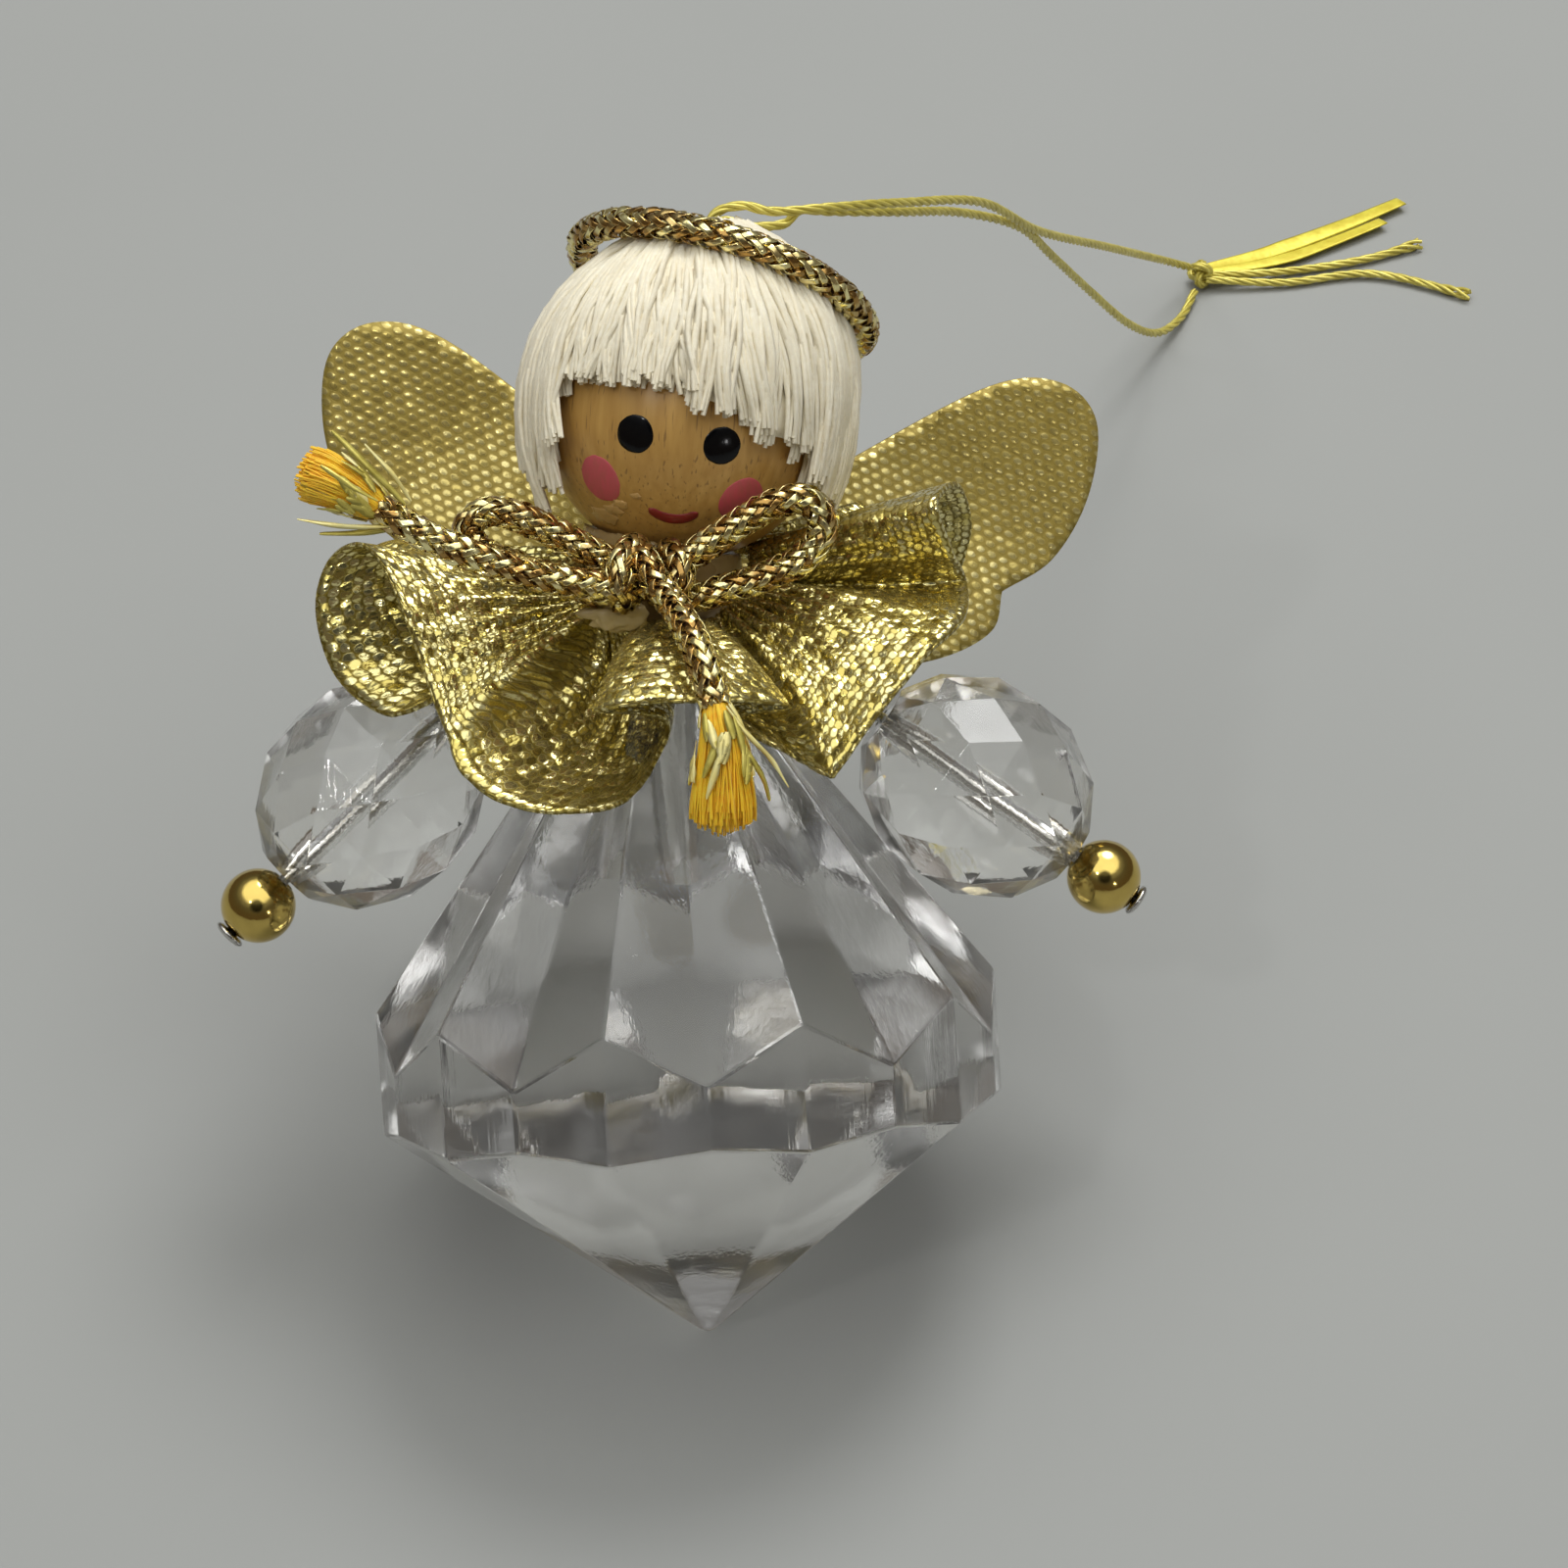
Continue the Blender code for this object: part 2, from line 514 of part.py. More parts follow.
def wing_glue(layout, material):
    """The bar of glue between the neck plug and the fold of the wings."""
    start = Vector((GLUE_CENTRE_X + 1.0, GLUE_RADIUS + CLEARANCE, WING_ROOT.z - 2.6))
    end = Vector((WING_ROOT.x - 0.6, WING_ROOT.y - 2 * CLEARANCE - WING_THICKNESS / 2, WING_ROOT.z - 2.0))
    path = [start.lerp(end, share) for share in (0.0, 0.25, 0.5, 0.75, 1.0)]
    rod(layout, "wing_glue", path, WING_GLUE_RADIUS, material, widths=[1.1, 1.0, 1.0, 1.15, 1.25])


def bow(layout, braid, core):
    """The tied cord: a wrapped knot, two loops and two tails with frayed ends."""
    front = layout.axes("bow_axes", Vector((0.0, -GATHER_RADIUS, NECK_TOP)), Quaternion())
    turns = [math.pi * k / 8 for k in range(9)]
    profile = [(BOW_KNOT_RADIUS * math.sin(turn), BOW_KNOT_HALF_LENGTH * math.cos(turn)) for turn in turns]
    profile[0] = (0.0, BOW_KNOT_HALF_LENGTH)
    profile[-1] = (0.0, -BOW_KNOT_HALF_LENGTH)
    knot = turned(layout, "bow_knot", profile, 14, braid, front)
    knot.location = BOW_KNOT * MM
    knot.rotation_euler = BOW_KNOT_AXIS.to_track_quat("Z", "Y").to_euler()
    for name, points in BOW_CORDS.items():
        rod(layout, name, smooth_path(points, 4), CORD_RADIUS, braid, parent=front)
    for name, points, wide in (
        ("left_tassel", LEFT_TASSEL, LEFT_TASSEL_RADIUS),
        ("front_tassel", FRONT_TASSEL, FRONT_TASSEL_RADIUS),
    ):
        path = smooth_path(points, 3)
        shares = [(k / (len(path) - 1)) ** 0.8 for k in range(len(path))]
        widths = [1.0 + (wide / CORD_RADIUS - 1.0) * share for share in shares]
        rod(layout, name, path, CORD_RADIUS, core, widths, front)


def on_table(point):
    """A point of the table's frame, measured from the skirt's point, in the upright frame."""
    return Matrix.Rotation(POINT_SLOPE, 3, "X") @ Vector(point)


def hanger(layout, material, foil):
    """The hanging thread: two strands of one loop, their knot and the cut ends beyond it."""
    for letter, leaving, falling in zip("ab", STRAND_EXITS, STRAND_FALLS):
        path = smooth_path([*leaving, *map(on_table, falling)], 3)
        rod(layout, f"hanger_strand_{letter}", path, THREAD_RADIUS, material)
    turns = [math.pi * k / 6 for k in range(1, 6)]
    profile = [(THREAD_KNOT_RADIUS * math.sin(turn), THREAD_KNOT_RADIUS * math.cos(turn)) for turn in turns]
    profile = [(0.0, THREAD_KNOT_RADIUS), *profile, (0.0, -THREAD_KNOT_RADIUS)]
    knot = turned(layout, "hanger_knot", profile, 12, material)
    knot.location = on_table(THREAD_KNOT) * MM
    knot.rotation_euler = on_table(THREAD_KNOT_AXIS).to_track_quat("Z", "Y").to_euler()
    for name, points in CUT_ENDS.items():
        path = smooth_path([on_table(point) for point in points], 4)
        rod(layout, name, path, THREAD_RADIUS, foil if name == "hanger_foil_end" else material)


def main():
    layout = Layout()
    clear = finish("clear_acrylic", (0.92, 0.94, 0.95), 0.03, transmission=1.0)
    gold = finish("gold_plating", (0.80, 0.60, 0.16), 0.12, metallic=1.0)
    steel = finish("pin_steel", (0.62, 0.62, 0.60), 0.25, metallic=1.0)
    glue = finish("hot_glue", (0.86, 0.83, 0.74), 0.35)
    beech = finish("beech_wood", (0.56, 0.36, 0.16), 0.5)
    yarn = finish("cotton_yarn", (0.82, 0.78, 0.69), 0.9)
    lame = finish("gold_lame", (0.50, 0.42, 0.11), 0.4, metallic=0.7)
    braid = finish("gold_braid", (0.55, 0.38, 0.12), 0.35, metallic=0.8)
    core = finish("rayon_core", (0.85, 0.48, 0.06), 0.6)
    thread = finish("metallic_thread", (0.60, 0.50, 0.10), 0.4, metallic=0.6)
    foil = finish("yellow_foil", (0.90, 0.80, 0.12), 0.4)
    skirt(layout, clear)
    plug = neck_glue(layout, glue)
    for side, sign, rise, spread, bare in ARMS:
        arm(layout, plug, side, sign, rise, spread, bare, clear, gold, steel)
    head = head_axes(layout)
    ball = drilled_ball(HEAD_RADIUS, HEAD_BORE_RADIUS, 18)
    turned(layout, "head_bead", ball, 30, beech, head, drilled=True)
    hair(layout, yarn, head)
    halo(layout, braid)
    collar(layout, lame)
    wings(layout, lame)
    wing_glue(layout, glue)
    bow(layout, braid, core)
    hanger(layout, thread, foil)


main()
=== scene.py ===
"""Looks of the bead angel ornament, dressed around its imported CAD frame.

Sizes are in millimetres in the ornament's own upright frame, as its maker would lay it out: the skirt's
point is the origin, +Z runs up the skirt's axis and -Y is the side with the face. RestPose leans that
frame back on to the table and turns it into the metres of the CAD frame.
"""

import json
import logging
import math
import random
from collections.abc import Callable, Sequence
from dataclasses import dataclass, field
from enum import Enum
from typing import Any

import bmesh
import bpy
from bmesh.types import BMesh, BMFace, BMVert
from bpy.types import Material, Mesh, NodeSocket, Object
from mathutils import Euler, Matrix, Quaternion, Vector, noise

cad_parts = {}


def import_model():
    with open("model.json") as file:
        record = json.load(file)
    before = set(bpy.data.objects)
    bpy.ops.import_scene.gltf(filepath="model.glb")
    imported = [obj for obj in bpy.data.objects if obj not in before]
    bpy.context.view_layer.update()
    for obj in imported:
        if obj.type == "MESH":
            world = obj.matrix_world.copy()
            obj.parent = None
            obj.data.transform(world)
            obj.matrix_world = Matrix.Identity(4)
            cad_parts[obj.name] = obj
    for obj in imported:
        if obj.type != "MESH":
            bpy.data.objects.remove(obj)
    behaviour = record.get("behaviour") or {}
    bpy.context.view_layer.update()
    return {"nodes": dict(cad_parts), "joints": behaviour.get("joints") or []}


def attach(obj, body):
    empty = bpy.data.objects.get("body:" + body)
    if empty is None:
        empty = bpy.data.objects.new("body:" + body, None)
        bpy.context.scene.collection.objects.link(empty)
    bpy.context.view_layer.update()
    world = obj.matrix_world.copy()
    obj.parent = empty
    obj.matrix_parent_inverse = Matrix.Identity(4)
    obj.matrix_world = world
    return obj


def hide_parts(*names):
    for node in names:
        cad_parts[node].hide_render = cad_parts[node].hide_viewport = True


LOG = logging.getLogger("angel_ornament")
MM = 0.001
TURN = 2 * math.pi
# Points closer than this are one: copies of a corner, points on a cut, and the seams of swept sections.
MERGE = 1e-6
CUT = 1e-5
WELD = 1e-4
# Steps of a path between two of its controls, before it is evened out.
PATH_STEPS = 12
# Names of the shade of each foil float and of the cloth's UV map, and the wings' root on that map.
TINT = "tint"
CLOTH_MAP = "flat_cloth"
WING_UV = (100.0, 50.0)
Pair = tuple[float, float]
Triple = tuple[float, float, float]


class Body(Enum):
    """CAD bodies that the pieces ride on."""

    BASE = "base"
    LEFT_ARM = "left_arm"
    RIGHT_ARM = "right_arm"
    LEFT_HAND = "left_hand"
    RIGHT_HAND = "right_hand"


class Slot(Enum):
    """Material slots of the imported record."""

    ACRYLIC = "clear_acrylic"
    GOLD = "gold_plating"
    STEEL = "pin_steel"
    GLUE = "hot_glue"
    WOOD = "beech_wood"
    YARN = "cotton_yarn"
    LAME = "gold_lame"
    BRAID = "gold_braid"
    CORE = "rayon_core"
    THREAD = "metallic_thread"
    FOIL = "yellow_foil"


class Winding(Enum):
    """Which way a strip runs round its cord."""

    CLOCKWISE = 1
    COUNTER = -1


@dataclass(frozen=True)
class RestPose:
    """How the upright ornament lies back on the table.

    Attributes:
        lean: Angle of the lean, which lays the rear facet of the skirt's point on the table.
        rest_point: Distance from the skirt's point to the frame's origin along that facet.
    """

    lean: float = math.radians(37.4)
    rest_point: float = 15.0

    @property
    def matrix(self) -> Matrix:
        """Turns upright millimetres into metres of the CAD frame."""
        shift = Matrix.Translation((0.0, -self.rest_point * MM, 0.0))
        return shift @ Matrix.Rotation(-self.lean, 4, "X") @ Matrix.Scale(MM, 4)

    def from_table(self, point: Sequence[float]) -> Vector:
        """Gives the upright place of a point measured on the table from the skirt's point."""
        return Matrix.Rotation(self.lean, 3, "X") @ Vector(point)


POSE = RestPose()


def upright_points(node: Object) -> list[Vector]:
    """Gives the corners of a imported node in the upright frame, in millimetres."""
    back = POSE.matrix.inverted()
    return [back @ vert.co for vert in node.data.vertices]


@dataclass(frozen=True)
class Layout:
    """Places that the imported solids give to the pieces, in the upright frame.

    Attributes:
        neck_top: Height of the skirt's neck.
        head_turn: Roll and turn of the head.
    """

    neck_top: float
    head_centre: Vector
    halo_centre: Vector
    head_turn: Quaternion = field(
        default_factory=lambda: Euler((0.0, math.radians(8.0), math.radians(-4.2))).to_quaternion()
    )

    @classmethod
    def from_nodes(cls, nodes: dict[str, Object]) -> "Layout":
        """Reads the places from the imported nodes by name."""
        return cls(
            neck_top=max(point.z for point in upright_points(nodes["skirt_drop"])),
            head_centre=cls.middle(nodes["head_bead"]),
            halo_centre=cls.middle(nodes["halo_ring"]),
        )

    @staticmethod
    def middle(node: Object) -> Vector:
        """Gives the mean corner of a node."""
        points = upright_points(node)
        return sum(points, Vector()) / len(points)

    def from_neck(self, point: Sequence[float]) -> Vector:
        """Gives the upright place of a point measured from the top of the neck."""
        return Vector(point) + Vector((0.0, 0.0, self.neck_top))

    def on_head(self, turn: float, polar: float, radius: float) -> Vector:
        """Gives a point about the turned head, by its turn from the face and its angle from the crown."""
        way = Vector((
            math.sin(polar) * math.sin(turn), -math.sin(polar) * math.cos(turn), math.cos(polar),
        ))
        return self.head_centre + self.head_turn @ (way * radius)


def smooth_path(points: Sequence[Sequence[float]], steps: int) -> list[Vector]:
    """Draws a Catmull-Rom curve through some points, in so many steps between two of them."""
    passed = [Vector(point) for point in points]
    padded = [passed[0] * 2 - passed[1], *passed, passed[-1] * 2 - passed[-2]]
    path = []
    for before, here, there, after in zip(padded, padded[1:], padded[2:], padded[3:]):
        for k in range(steps):
            t = k / steps
            linear = 2 * here + (there - before) * t
            square = (2 * before - 5 * here + 4 * there - after) * t * t
            cube = (3 * here - before - 3 * there + after) * t * t * t
            path.append(0.5 * (linear + square + cube))
    path.append(passed[-1])
    return path


def travel(path: Sequence[Vector]) -> list[float]:
    """Gives the distance run along a path at each of its points."""
    run = [0.0]
    for before, after in zip(path, path[1:]):
        run.append(run[-1] + (after - before).length)
    return run


def interpolated(table: Sequence[Pair], at: float) -> float:
    """Reads a value from a table of (place, value) rows, straight between them."""
    if at <= table[0][0]:
        return table[0][1]
    for (left, low), (right, high) in zip(table, table[1:]):
        if at <= right:
            return low + (high - low) * (at - left) / (right - left)
    return table[-1][1]


@dataclass
class Line:
    """An evenly stepped line with a frame carried along it.

    Attributes:
        points: Points of the line.
        alongs: Direction of the line at each point.
        sides: A direction square to it, carried along without twist.
        step: Distance between two points.
    """

    points: list[Vector]
    alongs: list[Vector]
    sides: list[Vector]
    step: float

    @classmethod
    def through(cls, controls: Sequence[Sequence[float]], spacing: float) -> "Line":
        """Lays an even line through control points, at nearly the wanted spacing."""
        rough = smooth_path(controls, PATH_STEPS)
        travelled = travel(rough)
        count = max(2, round(travelled[-1] / spacing))
        step = travelled[-1] / count
        points = []
        seen = 0
        for k in range(count + 1):
            goal = min(k * step, travelled[-1])
            while seen < len(rough) - 2 and travelled[seen + 1] < goal:
                seen += 1
            share = (goal - travelled[seen]) / (travelled[seen + 1] - travelled[seen])
            points.append(rough[seen].lerp(rough[seen + 1], share))
        ends = [points[0] * 2 - points[1], *points, points[-1] * 2 - points[-2]]
        alongs = [(after - before).normalized() for before, after in zip(ends, ends[2:])]
        side = alongs[0].orthogonal().normalized()
        sides = []
        for along in alongs:
            side = (side - along * side.dot(along)).normalized()
            sides.append(side)
        return cls(points, alongs, sides, step)

    @classmethod
    def ring(cls, centre: Vector, normal: Vector, radius: float, spacing: float) -> "Line":
        """Lays a closed ring, whose last point is its first and whose sides point out."""
        count = round(TURN * radius / spacing)
        start = normal.orthogonal().normalized()
        sides = [Quaternion(normal, TURN * k / count) @ start for k in range(count)]
        sides.append(sides[0].copy())
        points = [centre + side * radius for side in sides]
        alongs = [normal.cross(side) for side in sides]
        return cls(points, alongs, sides, TURN * radius / count)

    @property
    def length(self) -> float:
        """Length of the line."""
        return self.step * (len(self.points) - 1)

    def around(self, index: int, angle: float) -> Vector:
        """Gives the direction square to the line at an angle from its carried side."""
        up = self.alongs[index].cross(self.sides[index])
        return self.sides[index] * math.cos(angle) + up * math.sin(angle)


@dataclass
class Strand:
    """One fibre or ply: its points and its radius at each."""

    points: list[Vector]
    radii: list[float]


def added(name: str, data: Any) -> Object:
    """Adds an object with some data to the scene."""
    made = bpy.data.objects.new(name, data)
    bpy.context.scene.collection.objects.link(made)
    return made


def taken_mesh(holder: Object) -> Mesh:
    """Takes the mesh that a helper object shows and removes the object."""
    shown = holder.evaluated_get(bpy.context.evaluated_depsgraph_get())
    mesh = bpy.data.meshes.new_from_object(shown)
    bpy.data.objects.remove(holder)
    return mesh


def strand_mesh(name: str, strands: Sequence[Strand], resolution: int = 1) -> Mesh:
    """Makes round fibres as one mesh in the upright frame; a bevel resolution of 0 gives four sides."""
    curve = bpy.data.curves.new(name, "CURVE")
    curve.dimensions = "3D"
    curve.bevel_depth = 1.0
    curve.bevel_resolution = resolution
    curve.use_fill_caps = True
    for strand in strands:
        spline = curve.splines.new("POLY")
        spline.points.add(len(strand.points) - 1)
        for point, place, radius in zip(spline.points, strand.points, strand.radii):
            point.co = (*place, 1.0)
            point.radius = radius
    mesh = taken_mesh(added(name, curve))
    bpy.data.curves.remove(curve)
    return mesh


def mapped_grid(made: BMesh, along: int, across: int, place: Callable[[int, int], Vector]) -> list[BMVert]:
    """Adds a grid, places each corner by a rule from its two steps and gives the corners row by row."""
    verts = bmesh.ops.create_grid(made, x_segments=along, y_segments=across, size=0.5)["verts"]
    for index, vert in enumerate(verts):
        vert.co = place(index % (along + 1), index // (along + 1))
    return verts


def faces_of(verts: Sequence[BMVert]) -> list[BMFace]:
    """Gives the faces that meet some vertices."""
    return list({found for vert in verts for found in vert.link_faces})


def close_up(made: BMesh, capped: bool = True) -> None:
    """Welds the seams of swept sections, caps their open ends if asked to and turns all faces out."""
    bmesh.ops.remove_doubles(made, verts=made.verts[:], dist=WELD)
    if capped:
        bmesh.ops.holes_fill(made, edges=[edge for edge in made.edges if edge.is_boundary])
    bmesh.ops.recalc_face_normals(made, faces=made.faces[:])


def drilled_ball(radius: float, bore: float, lip: Pair, steps: int) -> list[Pair]:
    """Gives the closed profile of a drilled ball, with a lip of some width and depth at its hole."""
    first = math.asin((bore + lip[0]) / radius)
    turns = [first + (math.pi - 2 * first) * k / steps for k in range(steps + 1)]
    ball = [(radius * math.sin(turn), radius * math.cos(turn)) for turn in turns]
    edge = radius * math.cos(first) - lip[1]
    return [(bore, edge), *ball, (bore, -edge), (bore, edge)]


def lathe(made: BMesh, profile: Sequence[Pair], steps: int, place: Matrix) -> None:
    """Spins a profile about its own Z and moves it into place.

    Args:
        made: Mesh to add to.
        profile: Rows of (radius, height), run round a closed outline or from axis to axis.
        steps: Steps of the turn.
        place: Where the turned piece goes.
    """
    verts = [made.verts.new((radius, 0.0, height)) for radius, height in profile]
    edges = [made.edges.new(pair) for pair in zip(verts, verts[1:])]
    before = set(made.verts) - set(verts)
    bmesh.ops.spin(
        made, geom=[*verts, *edges], cent=(0.0, 0.0, 0.0), axis=(0.0, 0.0, 1.0),
        angle=TURN, steps=steps, use_merge=True,
    )
    turned = [vert for vert in made.verts if vert not in before]
    bmesh.ops.remove_doubles(made, verts=turned, dist=MERGE)
    turned = [vert for vert in made.verts if vert not in before]
    bmesh.ops.transform(made, matrix=place, verts=turned)
    bmesh.ops.recalc_face_normals(made, faces=faces_of(turned))


def to_mesh(name: str, made: BMesh) -> Mesh:
    """Turns a bmesh into a mesh and frees it."""
    mesh = bpy.data.meshes.new(name)
    made.to_mesh(mesh)
    made.free()
    return mesh


def finished_mesh(name: str, made: BMesh) -> Mesh:
    """Turns a bmesh laid out in the upright frame into a smooth mesh of the CAD frame."""
    made.transform(POSE.matrix)
    for found in made.faces:
        found.smooth = True
    return to_mesh(name, made)


def place_piece(
    name: str,
    made: BMesh | Mesh,
    finishes: Sequence[Material],
    slot: Slot,
    nodes: Sequence[str] = (),
    body: Body = Body.BASE,
) -> Object:
    """Adds a finished piece to the scene and to the CAD body that carries it.

    Args:
        name: Name of the piece.
        made: Its bmesh in the upright frame, or its mesh in the CAD frame.
        finishes: Its materials, by index.
        slot: The record's material slot of the piece; not used.
        nodes: CAD nodes that it stands for.
        body: CAD body that it rides on.

    Returns:
        The object.
    """
    mesh = finished_mesh(name, made) if isinstance(made, BMesh) else made
    for finish in finishes:
        mesh.materials.append(finish)
    piece = added(name, mesh)
    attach(piece, body.value)
    if nodes:
        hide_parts(*nodes)
    LOG.info("%s: %d faces, for %s", name, len(mesh.polygons), ", ".join(nodes) or "no node")
    return piece


def thicken(piece: Object, thickness: float) -> None:
    """Gives a cloth piece its thickness, half to each side."""
    solidify = piece.modifiers.new("thickness", "SOLIDIFY")
    solidify.thickness = thickness * MM
    solidify.offset = 0.0


def lay_uv(mesh: Mesh, flat: Sequence[Pair]) -> None:
    """Gives a mesh a UV map: the place of each vertex on the flat cloth, in millimetres."""
    layer = mesh.uv_layers.new(name=CLOTH_MAP)
    for loop, entry in zip(mesh.loops, layer.data):
        entry.uv = flat[loop.vertex_index]


class Nodes:
    """A node tree, with a short call for adding a node."""

    def __init__(self, tree: bpy.types.NodeTree) -> None:
        """Takes the tree."""
        self.tree = tree

    def feed(self, socket: NodeSocket, value: Any) -> None:
        """Links a socket into an input, or sets a constant on it."""
        if isinstance(value, NodeSocket):
            self.tree.links.new(value, socket)
        else:
            socket.default_value = value

    def add(
        self, kind: str, inputs: dict[int | str, Any], output: int | str = 0, **settings: Any,
    ) -> NodeSocket:
        """Adds a node.

        Args:
            kind: Node type, without its ShaderNode prefix.
            inputs: Constants or sockets by input.
            output: Output to return.
            **settings: Properties of the node.

        Returns:
            The output socket.
        """
        node = self.tree.nodes.new("ShaderNode" + kind)
        for name, value in settings.items():
            setattr(node, name, value)
        for name, value in inputs.items():
            self.feed(node.inputs[name], value)
        return node.outputs[output]


class FinishNodes(Nodes):
    """The node tree of one finish, with a short call for each kind of node."""

    def __init__(self, name: str) -> None:
        """Starts a material with a Principled shader."""
        self.material = bpy.data.materials.new(name)
        self.material.use_nodes = True
        super().__init__(self.material.node_tree)
        self.shader = self.tree.nodes["Principled BSDF"]

    def surface(self, values: dict[str, Any]) -> Material:
        """Sets inputs of the shader, by name, and gives the material."""
        for name, value in values.items():
            self.feed(self.shader.inputs[name], value)
        return self.material

    def math(self, operation: str, *values: Any) -> NodeSocket:
        """Adds a Math node on up to three values."""
        return self.add("Math", dict(enumerate(values)), operation=operation)

    def place(self, stretch: Triple = (1.0, 1.0, 1.0), turn: Triple = (0.0, 0.0, 0.0)) -> NodeSocket:
        """Gives object coordinates in millimetres, turned and then stretched along each axis."""
        raw = self.add("TexCoord", {}, "Object")
        scaled = self.add("Mapping", {"Vector": raw, "Rotation": turn, "Scale": (1 / MM,) * 3})
        return self.add("Mapping", {"Vector": scaled, "Scale": stretch})

    def noise(self, vector: NodeSocket, scale: float, detail: float = 3.0) -> NodeSocket:
        """Adds a noise of so many waves per millimetre."""
        return self.add("TexNoise", {"Vector": vector, "Scale": scale, "Detail": detail}, "Fac")

    def spread(
        self, value: NodeSocket, low: float, high: float, start: float = 0.3, stop: float = 0.7,
    ) -> NodeSocket:
        """Maps a factor from start and stop to low and high."""
        return self.add("MapRange", {0: value, 1: start, 2: stop, 3: low, 4: high})

    def mix(self, factor: Any, first: Any, second: Any) -> NodeSocket:
        """Mixes two colours."""
        return self.add("Mix", {0: factor, 6: first, 7: second}, 2, data_type="RGBA")

    def tone(self, value: NodeSocket, light: Triple, dark: Triple, share: float = 1.0) -> NodeSocket:
        """Wavers between two colours with a noise, up to a share of the second."""
        return self.mix(self.spread(value, 0.0, share), opaque(light), opaque(dark))

    def bump(
        self, height: NodeSocket, distance: float, strength: float, normal: NodeSocket | None = None,
    ) -> NodeSocket:
        """Adds a bump whose full height is a distance in millimetres, over another if one is given."""
        inputs = {"Height": height, "Distance": distance * MM, "Strength": strength}
        if normal is not None:
            inputs["Normal"] = normal
        return self.add("Bump", inputs)


def opaque(colour: Triple) -> tuple[float, float, float, float]:
    """Adds full opacity to a colour."""
    return (*colour, 1.0)


@dataclass(frozen=True)
class ClearAcrylic:
    """Moulded clear plastic with faint flow lines and scuffs; a drilled wall of it is frosted."""

    name: str
    tint: Triple = (0.98, 0.975, 0.955)
    index: float = 1.49
    clearness: float = 0.97
    polish: Pair = (0.0, 0.015)

    def material(self) -> Material:
        """Builds the finish."""
        nodes = FinishNodes(self.name)
        cloud = nodes.noise(nodes.place(), 0.35)
        upright = (POSE.lean, 0.0, 0.0)
        drawn = nodes.noise(nodes.place((1.0, 1.0, 0.05), upright), 2.6, 4.0)
        wavy = nodes.noise(nodes.place(), 0.3, 1.0)
        flow = nodes.bump(drawn, 0.035, 0.6, nodes.bump(wavy, 0.08, 0.7))
        return nodes.surface({
            "Base Color": opaque(self.tint),
            "Roughness": nodes.spread(cloud, *self.polish),
            "IOR": self.index,
            "Transmission Weight": self.clearness,
            "Normal": flow,
        })


@dataclass(frozen=True)
class Plating:
    """Plated metal, uneven in tone and polish, with a fine relief: orange peel or drawing marks.

    Attributes:
        wear: How far the tone goes from the colour to the worn one.
        waves: Waves per millimetre of the tone and of the relief.
        relief: Height and strength of the relief.
    """

    name: str
    colour: Triple
    worn: Triple
    wear: float
    waves: Pair
    roughness: Pair
    relief: Pair

    def material(self) -> Material:
        """Builds the finish."""
        nodes = FinishNodes(self.name)
        cloud, marks = (nodes.noise(nodes.place(), scale) for scale in self.waves)
        return nodes.surface({
            "Base Color": nodes.tone(cloud, self.colour, self.worn, self.wear),
            "Metallic": 1.0,
            "Roughness": nodes.spread(cloud, *self.roughness),
            "Normal": nodes.bump(marks, *self.relief),
        })


@dataclass(frozen=True)
class HotGlue:
    """Set hot glue, cloudy or nearly clear."""

    name: str
    colour: Triple
    clearness: float

    def material(self) -> Material:
        """Builds the finish."""
        nodes = FinishNodes(self.name)
        cloud = nodes.noise(nodes.place(), 0.5)
        lumps = nodes.noise(nodes.place(), 1.2)
        dull = tuple(0.82 * part for part in self.colour)
        return nodes.surface({
            "Base Color": nodes.tone(cloud, self.colour, dull),
            "Roughness": nodes.spread(cloud, 0.22, 0.42),
            "IOR": 1.48,
            "Transmission Weight": self.clearness,
            "Normal": nodes.bump(lumps, 0.12, 0.5),
        })


@dataclass(frozen=True)
class BeechWood:
    """Lacquered beech, with the grain and its short dark flecks along the bead's hole."""

    name: str = "beech_bead"
    light: Triple = (0.64, 0.385, 0.112)
    dark: Triple = (0.49, 0.27, 0.064)
    fleck: Triple = (0.17, 0.085, 0.03)

    def material(self, turn: Triple) -> Material:
        """Builds the finish, turned from the CAD frame to the bead's own axes."""
        nodes = FinishNodes(self.name)
        grain = nodes.noise(nodes.place((1.0, 1.0, 0.10), turn), 1.6, 4.0)
        broad = nodes.noise(nodes.place((1.0, 1.0, 0.25), turn), 0.22)
        short = nodes.noise(nodes.place((1.0, 1.0, 0.06), turn), 5.0, 1.0)
        pores = nodes.spread(short, 0.0, 1.0, 0.63, 0.72)
        tone = nodes.tone(grain, self.light, self.dark)
        tone = nodes.mix(nodes.spread(broad, 0.0, 0.55), tone, opaque(self.dark))
        tone = nodes.mix(nodes.math("MULTIPLY", pores, 0.6), tone, opaque(self.fleck))
        return nodes.surface({
            "Base Color": tone,
            "Roughness": nodes.spread(grain, 0.36, 0.5),
            "Coat Weight": 0.12,
            "Coat Roughness": 0.3,
            "Normal": nodes.bump(nodes.math("SUBTRACT", grain, pores), 0.05, 0.35),
        })


